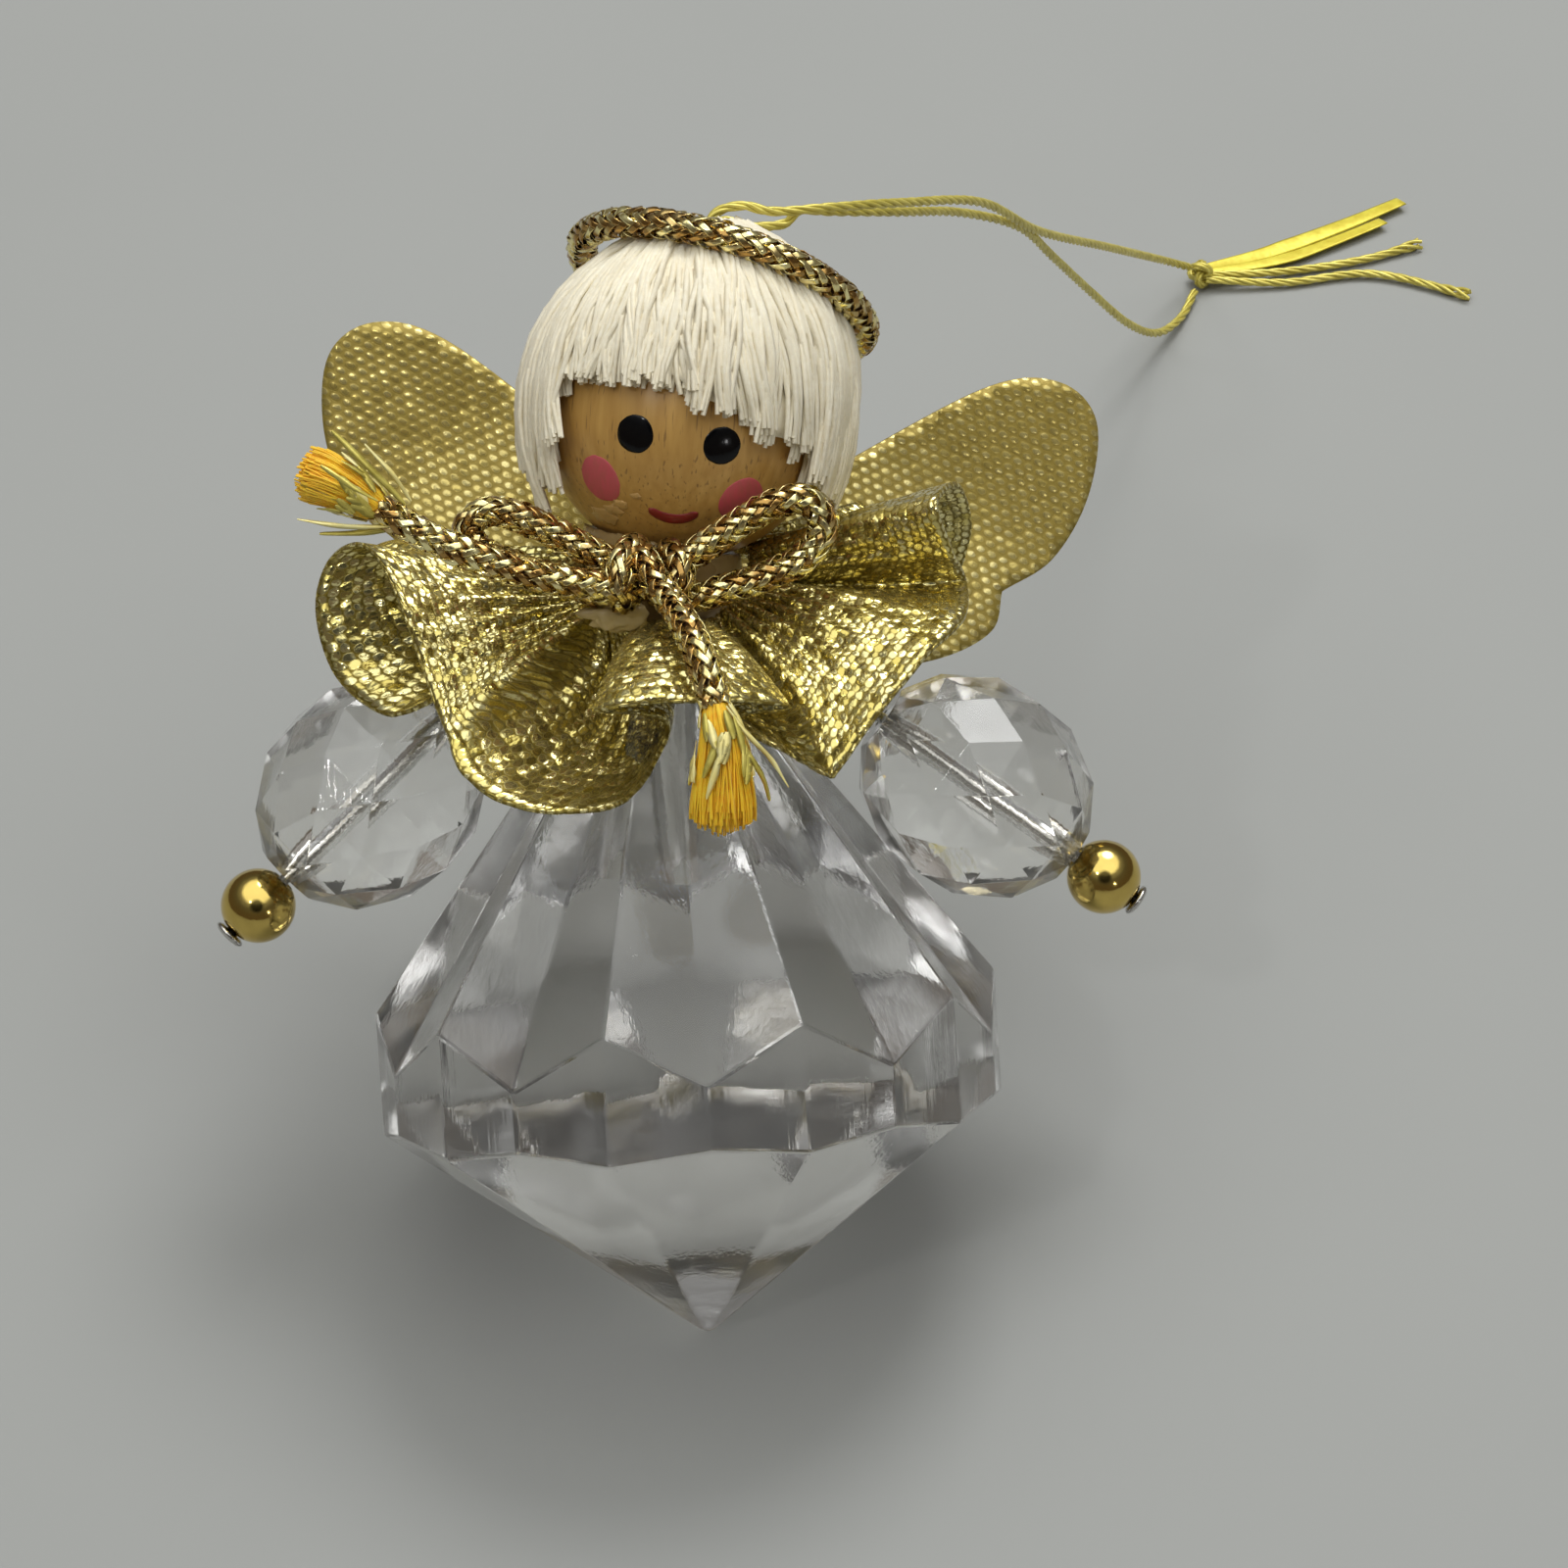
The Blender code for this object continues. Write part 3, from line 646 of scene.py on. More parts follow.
@dataclass(frozen=True)
class FacePaint:
    """Brushed enamel, thinner where the wood shows through."""

    name: str
    colour: Triple
    thin: Triple
    roughness: float
    coat: float
    shine: float = 0.5

    def material(self) -> Material:
        """Builds the finish."""
        nodes = FinishNodes(self.name)
        brushed = nodes.noise(nodes.place((1.0, 1.0, 0.3)), 3.5)
        return nodes.surface({
            "Base Color": nodes.tone(brushed, self.colour, self.thin, 0.8),
            "Roughness": nodes.spread(brushed, self.roughness, self.roughness * 1.3),
            "Coat Weight": self.coat,
            "Coat Roughness": 0.05,
            "Specular IOR Level": self.shine,
            "Normal": nodes.bump(brushed, 0.012, 0.5),
        })


@dataclass(frozen=True)
class Fibre:
    """Yarn or filling fibres that differ a little in tone, with a soft sheen."""

    name: str
    light: Triple
    dark: Triple
    sheen: float
    roughness: float
    glow: float = 0.0

    def material(self) -> Material:
        """Builds the finish."""
        nodes = FinishNodes(self.name)
        strands = nodes.noise(nodes.place(), 2.4)
        clumps = nodes.noise(nodes.place(), 0.45)
        both = nodes.math("MULTIPLY_ADD", strands, 0.6, nodes.math("MULTIPLY", clumps, 0.4))
        fuzz = nodes.noise(nodes.place(), 9.0)
        return nodes.surface({
            "Base Color": nodes.tone(both, self.light, self.dark),
            "Roughness": nodes.spread(strands, self.roughness, min(1.0, self.roughness + 0.15)),
            "Sheen Weight": self.sheen,
            "Sheen Roughness": 0.4,
            "Subsurface Weight": self.glow,
            "Subsurface Radius": (0.0015, 0.0009, 0.0004),
            "Normal": nodes.bump(fuzz, 0.05, 0.5),
        })


@dataclass(frozen=True)
class GoldLame:
    """Woven metallic cloth: rows of foil floats that each tilt a little, over a duller ground.

    Attributes:
        pitch: Spacing of the floats along a row and from row to row.
        tilt: How far single floats lean.
        float_size: Share of its cell that a float fills.
        crease: Depth of the cloth's creases.
        metal: How metallic the ground and the floats are.
        roughness: Roughness of the ground and of the floats.
        dome: How far a float bulges.
        warp: How far the weave wanders, in millimetres.
        uneven: How far the floats differ in size and outline.
        lift: How far the floats of a wing lean up together low beside its fold, where they are also drawn
            brighter as painted highlight.
        fading: Distances from the wings' root over which that lean and the floats' painted highlight fade.
        grain: Turn of the weave on the cloth.
    """

    name: str
    pitch: Pair
    tilt: float
    float_size: Pair
    bright: Triple = (0.94, 0.86, 0.44)
    olive: Triple = (0.60, 0.49, 0.13)
    ground: Triple = (0.27, 0.2, 0.034)
    crease: float = 0.25
    metal: Pair = (0.65, 0.95)
    roughness: Pair = (0.55, 0.15)
    dome: float = 0.08
    warp: float = 0.15
    uneven: float = 0.3
    lift: float = 0.0
    fading: Pair = (14.0, 21.0)
    grain: float = 0.0

    def material(self) -> Material:
        """Builds the finish."""
        nodes = FinishNodes(self.name)
        weave = nodes.add("UVMap", {}, uv_map=CLOTH_MAP)
        wander = nodes.add("TexNoise", {"Vector": weave, "Scale": 1.3, "Detail": 2.0}, "Color")
        shift = (self.warp,) * 3
        cloth = nodes.add("VectorMath", {0: wander, 1: shift, 2: weave}, operation="MULTIPLY_ADD")
        scale = (1 / self.pitch[0], 1 / self.pitch[1], 1.0)
        grain = nodes.add("VectorRotate", {"Vector": cloth, "Angle": self.grain}, rotation_type="Z_AXIS")
        cells = nodes.add("Mapping", {"Vector": grain, "Scale": scale})
        parts = nodes.add("SeparateXYZ", {0: cells}).node.outputs
        row = nodes.math("FLOOR", parts["Y"])
        column = nodes.math("MULTIPLY_ADD", nodes.math("PINGPONG", row, 1.0), 0.5, parts["X"])
        cell = nodes.add("CombineXYZ", {0: nodes.math("FLOOR", column), 1: row})
        drawn = nodes.add("TexWhiteNoise", {"Vector": cell}, "Color")
        chance = nodes.add("SeparateColor", {0: drawn}).node.outputs
        across = nodes.math("SUBTRACT", nodes.math("FRACT", column), 0.5)
        up = nodes.math("SUBTRACT", nodes.math("FRACT", parts["Y"]), 0.5)
        squares = []
        leans = []
        for way, size, tilted in zip((across, up), self.float_size, chance):
            squares.append(nodes.math("POWER", nodes.math("DIVIDE", way, size / 2), 2.0))
            leans.append(nodes.math("MULTIPLY", nodes.math("SUBTRACT", tilted, 0.5), way))
        reach = nodes.math("ADD", *squares)
        torn = nodes.add("TexNoise", {"Vector": weave, "Scale": 3.2, "Detail": 1.0}, "Fac")
        uneven = nodes.math("MULTIPLY_ADD", chance[2], self.uneven, 1.0 - self.uneven / 2)
        ragged = nodes.spread(torn, -self.uneven / 2, self.uneven / 2)
        reach = nodes.math("MULTIPLY_ADD", reach, uneven, ragged)
        pad = nodes.spread(reach, 1.0, 0.0, 0.55, 1.25)
        dome = nodes.spread(reach, 1.0, 0.0, 0.0, 1.6)
        lean = nodes.math("ADD", *leans)
        relief = nodes.math("MULTIPLY_ADD", lean, self.tilt, nodes.math("MULTIPLY", dome, self.dome))
        shown = pad
        # Painted highlight: beside the wings' fold the floats are drawn at full brightness, dimming to 0.55
        # of it further out.
        if self.lift:
            flat = nodes.add("SeparateXYZ", {0: weave}).node.outputs
            away = nodes.math("ABSOLUTE", nodes.math("SUBTRACT", flat["X"], WING_UV[0]))
            high = nodes.math("SUBTRACT", flat["Y"], WING_UV[1])
            lit = nodes.spread(nodes.math("MULTIPLY_ADD", away, 0.7, high), 1.0, 0.0, *self.fading)
            leaning = nodes.math("MULTIPLY", nodes.math("MULTIPLY", up, lit), self.lift)
            relief = nodes.math("SUBTRACT", relief, leaning)
            shown = nodes.math("MULTIPLY", pad, nodes.math("MULTIPLY_ADD", lit, 0.45, 0.55))
        crumple = nodes.noise(nodes.place(), 0.45, 4.0)
        folds = nodes.bump(crumple, self.crease, 0.6)
        metal = nodes.mix(chance[2], opaque(self.olive), opaque(self.bright))
        return nodes.surface({
            "Base Color": nodes.mix(shown, opaque(self.ground), metal),
            "Metallic": nodes.spread(pad, *self.metal, 0.0, 1.0),
            "Roughness": nodes.spread(pad, *self.roughness, 0.0, 1.0),
            "Normal": nodes.bump(relief, sum(self.pitch) / 2, 0.8, folds),
        })


@dataclass(frozen=True)
class BraidFoil:
    """Metallic strips or thread; the floats of a braid each have their own shade of gold."""

    name: str
    bright: Triple
    brown: Triple
    metallic: float
    roughness: Pair
    braided: bool = False

    def material(self) -> Material:
        """Builds the finish."""
        nodes = FinishNodes(self.name)
        if self.braided:
            shade = nodes.add("Attribute", {}, "Fac", attribute_name=TINT)
        else:
            shade = nodes.noise(nodes.place(), 0.9)
        film = nodes.noise(nodes.place(), 3.0)
        return nodes.surface({
            "Base Color": nodes.tone(shade, self.bright, self.brown),
            "Metallic": self.metallic,
            "Roughness": nodes.spread(film, *self.roughness),
            "Normal": nodes.bump(film, 0.05, 0.5),
        })


class Finishes:
    """Every finish of the ornament, built once."""

    def __init__(self, head_turn: Quaternion) -> None:
        """Builds the materials, the wood for a head turned so in the upright frame."""
        to_head = (POSE.matrix.to_quaternion() @ head_turn).inverted().to_euler()
        self.acrylic = ClearAcrylic("clear_acrylic_polished").material()
        self.frosted = ClearAcrylic("clear_acrylic_drilled", polish=(0.04, 0.09)).material()
        self.gold = Plating(
            "gold_plating_bright", (0.68, 0.51, 0.14), (0.46, 0.33, 0.09), 0.6, (0.6, 3.0), (0.07, 0.16),
            (0.012, 0.5),
        ).material()
        self.steel = Plating(
            "pin_steel_drawn", (0.60, 0.59, 0.56), (0.42, 0.41, 0.39), 1.0, (4.0, 4.0), (0.14, 0.32),
            (0.01, 0.4),
        ).material()
        self.glue = HotGlue("hot_glue_cloudy", (0.68, 0.53, 0.25), 0.0).material()
        # Neck glue: yellowed amber glue, drawn darker still as painted shade under the chin and behind the
        # bow.
        self.neck_glue = HotGlue("hot_glue_amber_and_painted_shade", (0.40, 0.27, 0.11), 0.1).material()
        self.smear = HotGlue("hot_glue_smeared", (0.60, 0.37, 0.13), 0.0).material()
        self.wood = BeechWood().material(tuple(to_head))
        self.eye = FacePaint(
            "eye_enamel", (0.002, 0.002, 0.003), (0.004, 0.004, 0.004), 0.1, 0.0, 0.25,
        ).material()
        self.cheek = FacePaint("cheek_enamel", (0.63, 0.095, 0.13), (0.53, 0.12, 0.11), 0.5, 0.0).material()
        self.lip = FacePaint("lip_enamel", (0.27, 0.012, 0.015), (0.20, 0.02, 0.015), 0.3, 0.2).material()
        self.yarn = Fibre("cotton_yarn_white", (0.89, 0.84, 0.68), (0.80, 0.72, 0.53), 0.2, 0.8).material()
        self.core = Fibre("rayon_filling", (1.0, 0.72, 0.04), (1.0, 0.52, 0.014), 0.1, 0.4, 0.15).material()
        self.ribbon = GoldLame(
            "gold_lame_ribbon", (0.70, 0.54), 0.68, (1.0, 0.95), metal=(0.8, 0.94), warp=0.5, uneven=0.45,
        ).material()
        self.wing = GoldLame(
            "gold_lame_wing", (0.92, 0.62), 0.16, (0.74, 0.7), (0.86, 0.75, 0.33), (0.66, 0.53, 0.16),
            (0.385, 0.285, 0.055), 0.06, (0.35, 0.65), (0.5, 0.24), 0.055, lift=0.33,
            grain=math.radians(22.0),
        ).material()
        braid_foil = BraidFoil(
            "gold_braid_foil", (0.96, 0.86, 0.42), (0.42, 0.25, 0.075), 0.95, (0.08, 0.22), True,
        ).material()
        self.loose_foil = BraidFoil(
            "loose_foil_strips", (1.0, 0.93, 0.44), (0.98, 0.83, 0.28), 0.15, (0.3, 0.45),
        ).material()
        # Braid core: dark brown, drawn darker still so that the gaps between strips carry painted shade.
        dark_core_and_gap_shade = BraidFoil(
            "gold_braid_dark_core_gap_shade", (0.11, 0.036, 0.012), (0.05, 0.016, 0.006), 0.2, (0.5, 0.7),
        ).material()
        self.braid = [braid_foil, dark_core_and_gap_shade]
        self.thread = BraidFoil(
            "metallic_thread_gold", (0.80, 0.70, 0.17), (0.56, 0.47, 0.08), 0.35, (0.28, 0.45),
        ).material()
        self.strip = BraidFoil(
            "yellow_foil_strip", (0.90, 0.80, 0.10), (0.72, 0.58, 0.05), 0.25, (0.3, 0.5),
        ).material()


@dataclass(frozen=True)
class Braid:
    """Round braid of flat foil strips, two over and two under, on a soft core.

    Attributes:
        radius: Radius of the middle of the strips' layer.
        carriers: Strips that run each way.
        lay: Angle of the strips off the cord's line.
        width: Width of a strip.
        thickness: Half the thickness of a strip.
        crossing: How far a strip rises over and dips under the others.
        lean: How far single floats lean to one side.
        steps: Steps of a strip in one turn round the cord.
    """

    radius: float = 0.88
    carriers: int = 8
    lay: float = math.radians(31.0)
    width: float = 0.49
    thickness: float = 0.03
    crossing: float = 0.16
    lean: float = 0.85
    steps: int = 48

    @property
    def apart(self) -> float:
        """Angle between neighbouring strips."""
        return TURN / self.carriers

    @property
    def spacing(self) -> float:
        """Step along the cord's line that gives a turn its number of steps."""
        return TURN * self.radius / math.tan(self.lay) / self.steps

    def build(self, made: BMesh, line: Line, closed: bool = False) -> None:
        """Adds the strips and the core along a line.

        Args:
            made: Mesh to add to: strips get material 0 and the core material 1.
            line: Middle of the cord.
            closed: Whether the line is a ring.
        """
        rate = math.tan(self.lay) / self.radius
        if closed:
            rate = round(rate * line.length / TURN) * TURN / line.length
        if TINT not in made.verts.layers.float:
            made.verts.layers.float.new(TINT)
        for winding in Winding:
            for carrier in range(self.carriers):
                self.strip(made, line, winding, carrier, rate)
        self.core(made, line)
        close_up(made, not closed)

    def strip(self, made: BMesh, line: Line, winding: Winding, carrier: int, rate: float) -> None:
        """Adds one strip, a flat closed section carried round the cord.

        Args:
            made: Mesh to add to.
            line: Middle of the cord.
            winding: Which way it runs.
            carrier: Its number that way.
            rate: Its turn per millimetre.
        """
        section = ((-1.0, 0.0), (-0.6, 1.0), (0.6, 1.0), (1.0, 0.0), (0.6, -1.0), (-0.6, -1.0), (-1.0, 0.0))
        sign = winding.value

        def place(step: int, corner: int) -> Vector:
            passed = 2 * rate * line.step * step / self.apart
            angle = carrier * self.apart + sign * rate * line.step * step
            out = line.around(step, angle)
            phase = (2 * carrier + sign * passed - 0.5) / 2
            wave = sign * max(-1.0, min(1.0, 1.7 * math.cos(math.pi * phase)))
            round_way = line.alongs[step].cross(out)
            heading = line.alongs[step] * math.cos(self.lay) + round_way * (sign * math.sin(self.lay))
            aside, rise = section[corner]
            tilt = self.lean * noise.noise(Vector((carrier * 7.3, phase * 1.3, sign * 5.1)))
            across = heading.cross(out) + out * tilt
            radius = self.radius + self.crossing * wave + self.thickness * rise
            return line.points[step] + out * radius + across * (aside * self.width / 2)

        strip = mapped_grid(made, len(line.points) - 1, len(section) - 1, place)
        tint = made.verts.layers.float[TINT]
        for index, vert in enumerate(strip):
            step = index % len(line.points)
            run = (2 * carrier + 2 * sign * rate * line.step * step / self.apart) * 0.65
            vert[tint] = 0.5 + 0.8 * noise.noise(Vector((carrier * 3.7 + 0.3, run, sign * 2.3)))

    def core(self, made: BMesh, line: Line) -> None:
        """Adds the core under the strips, its own dark brown drawn darker still as painted shade in the
        gaps between them.
        """
        sides = 10
        radius = self.radius - 0.9 * self.crossing

        def place(step: int, corner: int) -> Vector:
            return line.points[step] + line.around(step, TURN * corner / sides) * radius

        for found in faces_of(mapped_grid(made, len(line.points) - 1, sides, place)):
            found.material_index = 1


@dataclass(frozen=True)
class TwistedThread:
    """Four-ply metallic thread, softly twisted.

    Attributes:
        pitch: Length of one twist.
        steps: Points of a ply in one twist.
        helix: Radius of the twist, as a share of the thread's.
        ply: Radius of a ply, as a share of the thread's.
        opening: How much wider the twist is at a frayed tip.
    """

    radius: float = 0.35
    pitch: float = 5.4
    steps: int = 18
    plies: int = 4
    helix: float = 0.56
    ply: float = 0.46
    opening: float = 1.1

    @property
    def spacing(self) -> float:
        """Distance between two points of the thread's line."""
        return self.pitch / self.steps

    def strands(self, line: Line, frayed: float = 0.0) -> list[Strand]:
        """Twists the plies along a line; over a frayed length at its far end they part."""
        made = []
        last = len(line.points) - 1
        for ply in range(self.plies):
            points = []
            for index, point in enumerate(line.points):
                angle = TURN * (index * line.step / self.pitch + ply / self.plies)
                left = (last - index) * line.step
                parted = 1.0 + self.opening * max(0.0, 1.0 - left / frayed) if frayed else 1.0
                points.append(point + line.around(index, angle) * (self.radius * self.helix * parted))
            made.append(Strand(points, [self.radius * self.ply] * len(points)))
        return made


@dataclass
class HangingThread:
    """The loop of thread: two strands from the crown to the table, their knot and the cut ends.

    Attributes:
        exits: For each strand, its first points over the head, in the upright frame.
        falls: For each strand, its points down to the table, from the skirt's point.
        knot: Middle of the knot, on the table.
        knot_axis: Direction of the knot.
        cut_ends: Points of the twisted ends past the knot, on the table.
        frayed: Length over which the plies of a cut end part.
        foil_end: Points of the flat end, on the table.
        foil_short: Share of the flat end that the shorter of its two strips runs.
    """

    finishes: Finishes
    thread: TwistedThread = TwistedThread()
    exits: tuple[tuple[Triple, ...], ...] = (
        ((3.7, -0.6, 72.0), (4.2, -0.6, 75.0), (5.4, -0.5, 77.4), (7.4, -0.4, 77.9)),
        ((3.7, 0.7, 72.0), (4.4, 0.8, 75.0), (5.8, 1.0, 76.9), (8.2, 1.2, 76.4)),
    )
    falls: tuple[tuple[Triple, ...], ...] = (
        (
            (9.5, 46.8, 61.6), (13.7, 47.9, 60.8), (18.9, 52.2, 57.5), (25.8, 62.1, 49.5),
            (31.7, 73.1, 38.0), (39.8, 90.4, 22.5), (47.1, 107.4, 7.5), (50.4, 112.8, 2.3),
        ),
        (
            (10.4, 48.0, 59.6), (11.4, 48.3, 60.4), (13.7, 49.0, 59.6), (18.8, 53.4, 55.8),
            (24.4, 62.2, 48.6), (29.9, 70.9, 40.2), (33.7, 78.8, 31.0), (37.9, 87.8, 20.5),
            (42.7, 96.9, 9.5), (46.4, 103.9, 2.6), (49.1, 108.2, 0.6), (50.8, 111.6, 0.6),
        ),
    )
    knot: Triple = (51.5, 113.2, 1.3)
    knot_axis: Triple = (0.95, 0.3, 0.0)
    knot_size: float = 0.34
    knot_steps: int = 36
    frayed: float = 3.0
    cut_ends: dict[str, tuple[Triple, ...]] = field(default_factory=lambda: {
        "hanger_end_a": ((52.0, 113.1, 1.1), (58.7, 113.7, 0.45), (65.6, 114.6, 0.45), (70.9, 116.3, 0.45)),
        "hanger_end_b": ((51.9, 112.6, 1.0), (58.6, 112.2, 0.45), (66.2, 112.6, 0.45), (73.8, 108.9, 0.45)),
    })
    foil_end: tuple[Triple, ...] = (
        (52.0, 113.5, 1.3), (58.2, 115.7, 0.6), (64.6, 118.6, 0.5), (70.6, 121.7, 0.5),
    )
    foil_width: float = 1.5
    foil_step: float = 0.5
    foil_short: float = 0.86

    def build(self) -> None:
        """Builds the thread's pieces: the knot, the flat end, the cut ends and the two strands."""
        ends = [self.build_knot(), self.build_foil_end()]
        ends += [self.build_cut_end(name, points) for name, points in self.cut_ends.items()]
        for letter, leaving, falling in zip("ab", self.exits, self.falls):
            line = Line.through([*leaving, *map(POSE.from_table, falling)], self.thread.spacing)
            name = f"hanger_strand_{letter}"
            strand = self.twisted(f"thread_strand_{letter}", line, name, 0.0)
            path = [POSE.matrix @ point for point in line.points]
            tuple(path[0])

    def twisted(self, name: str, line: Line, node: str, frayed: float) -> Object:
        """Builds one length of twisted thread for a CAD node, its far end frayed over some length."""
        made = bmesh.new()
        made.from_mesh(strand_mesh(name, self.thread.strands(line, frayed)))
        return place_piece(name, made, [self.finishes.thread], Slot.THREAD, [node])

    def build_cut_end(self, node: str, points: Sequence[Triple]) -> Object:
        """Builds a cut end, whose plies part at the tip."""
        line = Line.through([POSE.from_table(point) for point in points], self.thread.spacing)
        return self.twisted(node.replace("hanger", "thread"), line, node, self.frayed)

    def build_knot(self) -> Object:
        """Builds the knot as a tight trefoil of the same thread."""
        turn = POSE.from_table(self.knot_axis).to_track_quat("Z", "Y")
        middle = POSE.from_table(self.knot)
        loop = []
        for k in range(self.knot_steps + 1):
            t = TURN * k / self.knot_steps
            wide = math.sin(t) + 2 * math.sin(2 * t)
            bend = Vector((wide, math.cos(t) - 2 * math.cos(2 * t), -1.6 * math.sin(3 * t)))
            loop.append(middle + turn @ (bend * self.knot_size))
        line = Line.through(loop, self.thread.spacing)
        return self.twisted("thread_knot", line, "hanger_knot", 0.0)

    def build_foil_end(self) -> Object:
        """Builds the flat end: two strips that lie side by side and split towards the tip."""
        made = bmesh.new()
        line = Line.through([POSE.from_table(point) for point in self.foil_end], self.foil_step)
        up = POSE.from_table((0.0, 0.0, 1.0))
        section = ((-1.0, 0.0), (-0.7, 1.0), (0.7, 1.0), (1.0, 0.0), (0.7, -1.0), (-0.7, -1.0), (-1.0, 0.0))
        last = len(line.points) - 1
        for sign in (-1, 1):
            reach = last if sign > 0 else round(last * self.foil_short)

            def place(step: int, corner: int, sign: int = sign) -> Vector:
                share = step / last
                aside = up.cross(line.alongs[step]).normalized()
                wide, high = section[corner]
                opened = 0.35 + 0.65 * min(1.0, share * 2.5)
                middle = aside * (sign * 0.42 * self.foil_width * opened) + up * (0.12 * sign * (1 - share))
                curl = up * (0.18 * wide * sign * math.sin(3.0 * share + sign))
                spread = aside * (wide * 0.5 * self.foil_width * opened)
                return line.points[step] + middle + spread + curl + up * (0.06 * high)

            mapped_grid(made, reach, len(section) - 1, place)
        close_up(made)
        return place_piece("thread_foil_end", made, [self.finishes.strip], Slot.FOIL, ["hanger_foil_end"])


@dataclass
class ClearBeads:
    """The skirt and the two arm beads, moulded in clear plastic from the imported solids.

    Attributes:
        edge_round: Rounding of the moulded edges.
        flat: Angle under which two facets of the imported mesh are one.
        sharp: Angle over which an edge is rounded.
        wall: How far off the axis a hole's wall may reach, as a share of the hole's radius.
        bore_radius: Radius of the skirt's blind hole.
        arm_bore_radius: Radius of the hole of an arm bead.
    """

    finishes: Finishes
    nodes: dict[str, Object]
    joints: dict[str, dict[str, Any]]
    edge_round: float = 0.19
    bore_radius: float = 2.2
    arm_bore_radius: float = 0.7
    flat: float = math.radians(0.5)
    sharp: float = math.radians(4.0)
    wall: float = 1.15

    def build(self) -> None:
        """Builds the three clear pieces."""
        top = POSE.matrix @ Vector((0.0, 0.0, 1.0))
        foot = POSE.matrix @ Vector()
        self.copy_node("skirt", "skirt_drop", foot, top - foot, self.bore_radius, Body.BASE)
        for body in (Body.LEFT_ARM, Body.RIGHT_ARM):
            joint = self.joints[body.value + "_spin"]
            self.copy_node(
                body.value + "_drop", body.value + "_bead", Vector(joint["pos_m"]), Vector(joint["axis"]),
                self.arm_bore_radius, body,
            )

    def copy_node(self, name: str, node: str, place: Vector, axis: Vector, bore: float, body: Body) -> None:
        """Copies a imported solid, joins its facets and rounds its edges.

        Args:
            name: Name of the piece.
            node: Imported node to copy.
            place: A point on its axis.
            axis: Direction of its axis.
            bore: Radius of its hole.
            body: CAD body that carries it.
        """
        made = bmesh.new()
        made.from_mesh(self.nodes[node].data)
        bmesh.ops.remove_doubles(made, verts=made.verts[:], dist=MERGE)
        bmesh.ops.dissolve_limit(made, angle_limit=self.flat, verts=made.verts[:], edges=made.edges[:])
        along = axis.normalized()

        def off_axis(point: Vector) -> float:
            return (point - place - along * (point - place).dot(along)).length / MM

        for found in made.faces:
            inside = all(off_axis(vert.co) < self.wall * bore for vert in found.verts)
            found.material_index = 1 if inside else 0
        sharp = [
            edge for edge in made.edges
            if edge.calc_face_angle(0.0) > self.sharp
            and not all(found.material_index for found in edge.link_faces)
        ]
        bmesh.ops.bevel(
            made, geom=sharp, offset=self.edge_round * MM, segments=2, profile=0.5, affect="EDGES",
            material=-1, clamp_overlap=True,
        )
        finishes = [self.finishes.acrylic, self.finishes.frosted]
        place_piece(name, to_mesh(name, made), finishes, Slot.ACRYLIC, [node], body)


@dataclass
class PinnedHand:
    """One hand bead and the headed pin that runs through it and its arm bead.

    Attributes:
        hand: CAD body of the hand.
        joint: The hand's joint, whose place is the hand's centre.
        pin_length: Length of the pin from there into the neck.
        lip: Width and depth of the rounding at the bead's hole.
    """

    finishes: Finishes
    hand: Body
    joint: dict[str, Any]
    pin_length: float
    hand_radius: float = 2.6
    bore_radius: float = 0.7
    lip: Pair = (0.18, 0.14)
    pin_radius: float = 0.4
    pin_head_radius: float = 1.15
    pin_head_thickness: float = 0.55

    def build(self) -> None:
        """Builds the bead and the pin in the joint's own frame."""
        back = POSE.matrix.inverted()
        middle = back @ Vector(self.joint["pos_m"])
        axis = (back.to_quaternion() @ Vector(self.joint["axis"])).normalized()
        place = Matrix.Translation(middle) @ axis.to_track_quat("Z", "Y").to_matrix().to_4x4()
        self.build_bead(place)
        self.build_pin(place)

    def build_bead(self, place: Matrix) -> None:
        """Spins the gold bead, with a rounded lip at its hole."""
        made = bmesh.new()
        lathe(made, drilled_ball(self.hand_radius, self.bore_radius, self.lip, 28), 40, place)
        node = self.hand.value + "_bead"
        place_piece(self.hand.value + "_gold", made, [self.finishes.gold], Slot.GOLD, [node], self.hand)

    def build_pin(self, place: Matrix) -> None:
        """Spins the pin, from its domed head down to the end in the glue."""
        head = self.hand_radius
        top = head + self.pin_head_thickness
        rim = self.pin_head_radius
        profile = [
            (0.0, top), (0.45 * rim, top - 0.02), (0.8 * rim, top - 0.1), (0.96 * rim, top - 0.24),
            (rim, head + 0.2), (0.94 * rim, head + 0.06), (0.8 * rim, head), (self.pin_radius + 0.1, head),
            (self.pin_radius, head - 0.12), (self.pin_radius, -self.pin_length),
            (0.7 * self.pin_radius, -self.pin_length - 0.1), (0.0, -self.pin_length - 0.1),
        ]
        made = bmesh.new()
        lathe(made, profile, 24, place)
        side = self.hand.value.removesuffix("_hand")
        place_piece(f"{side}_pin", made, [self.finishes.steel], Slot.STEEL, [f"{side}_arm_pin"])


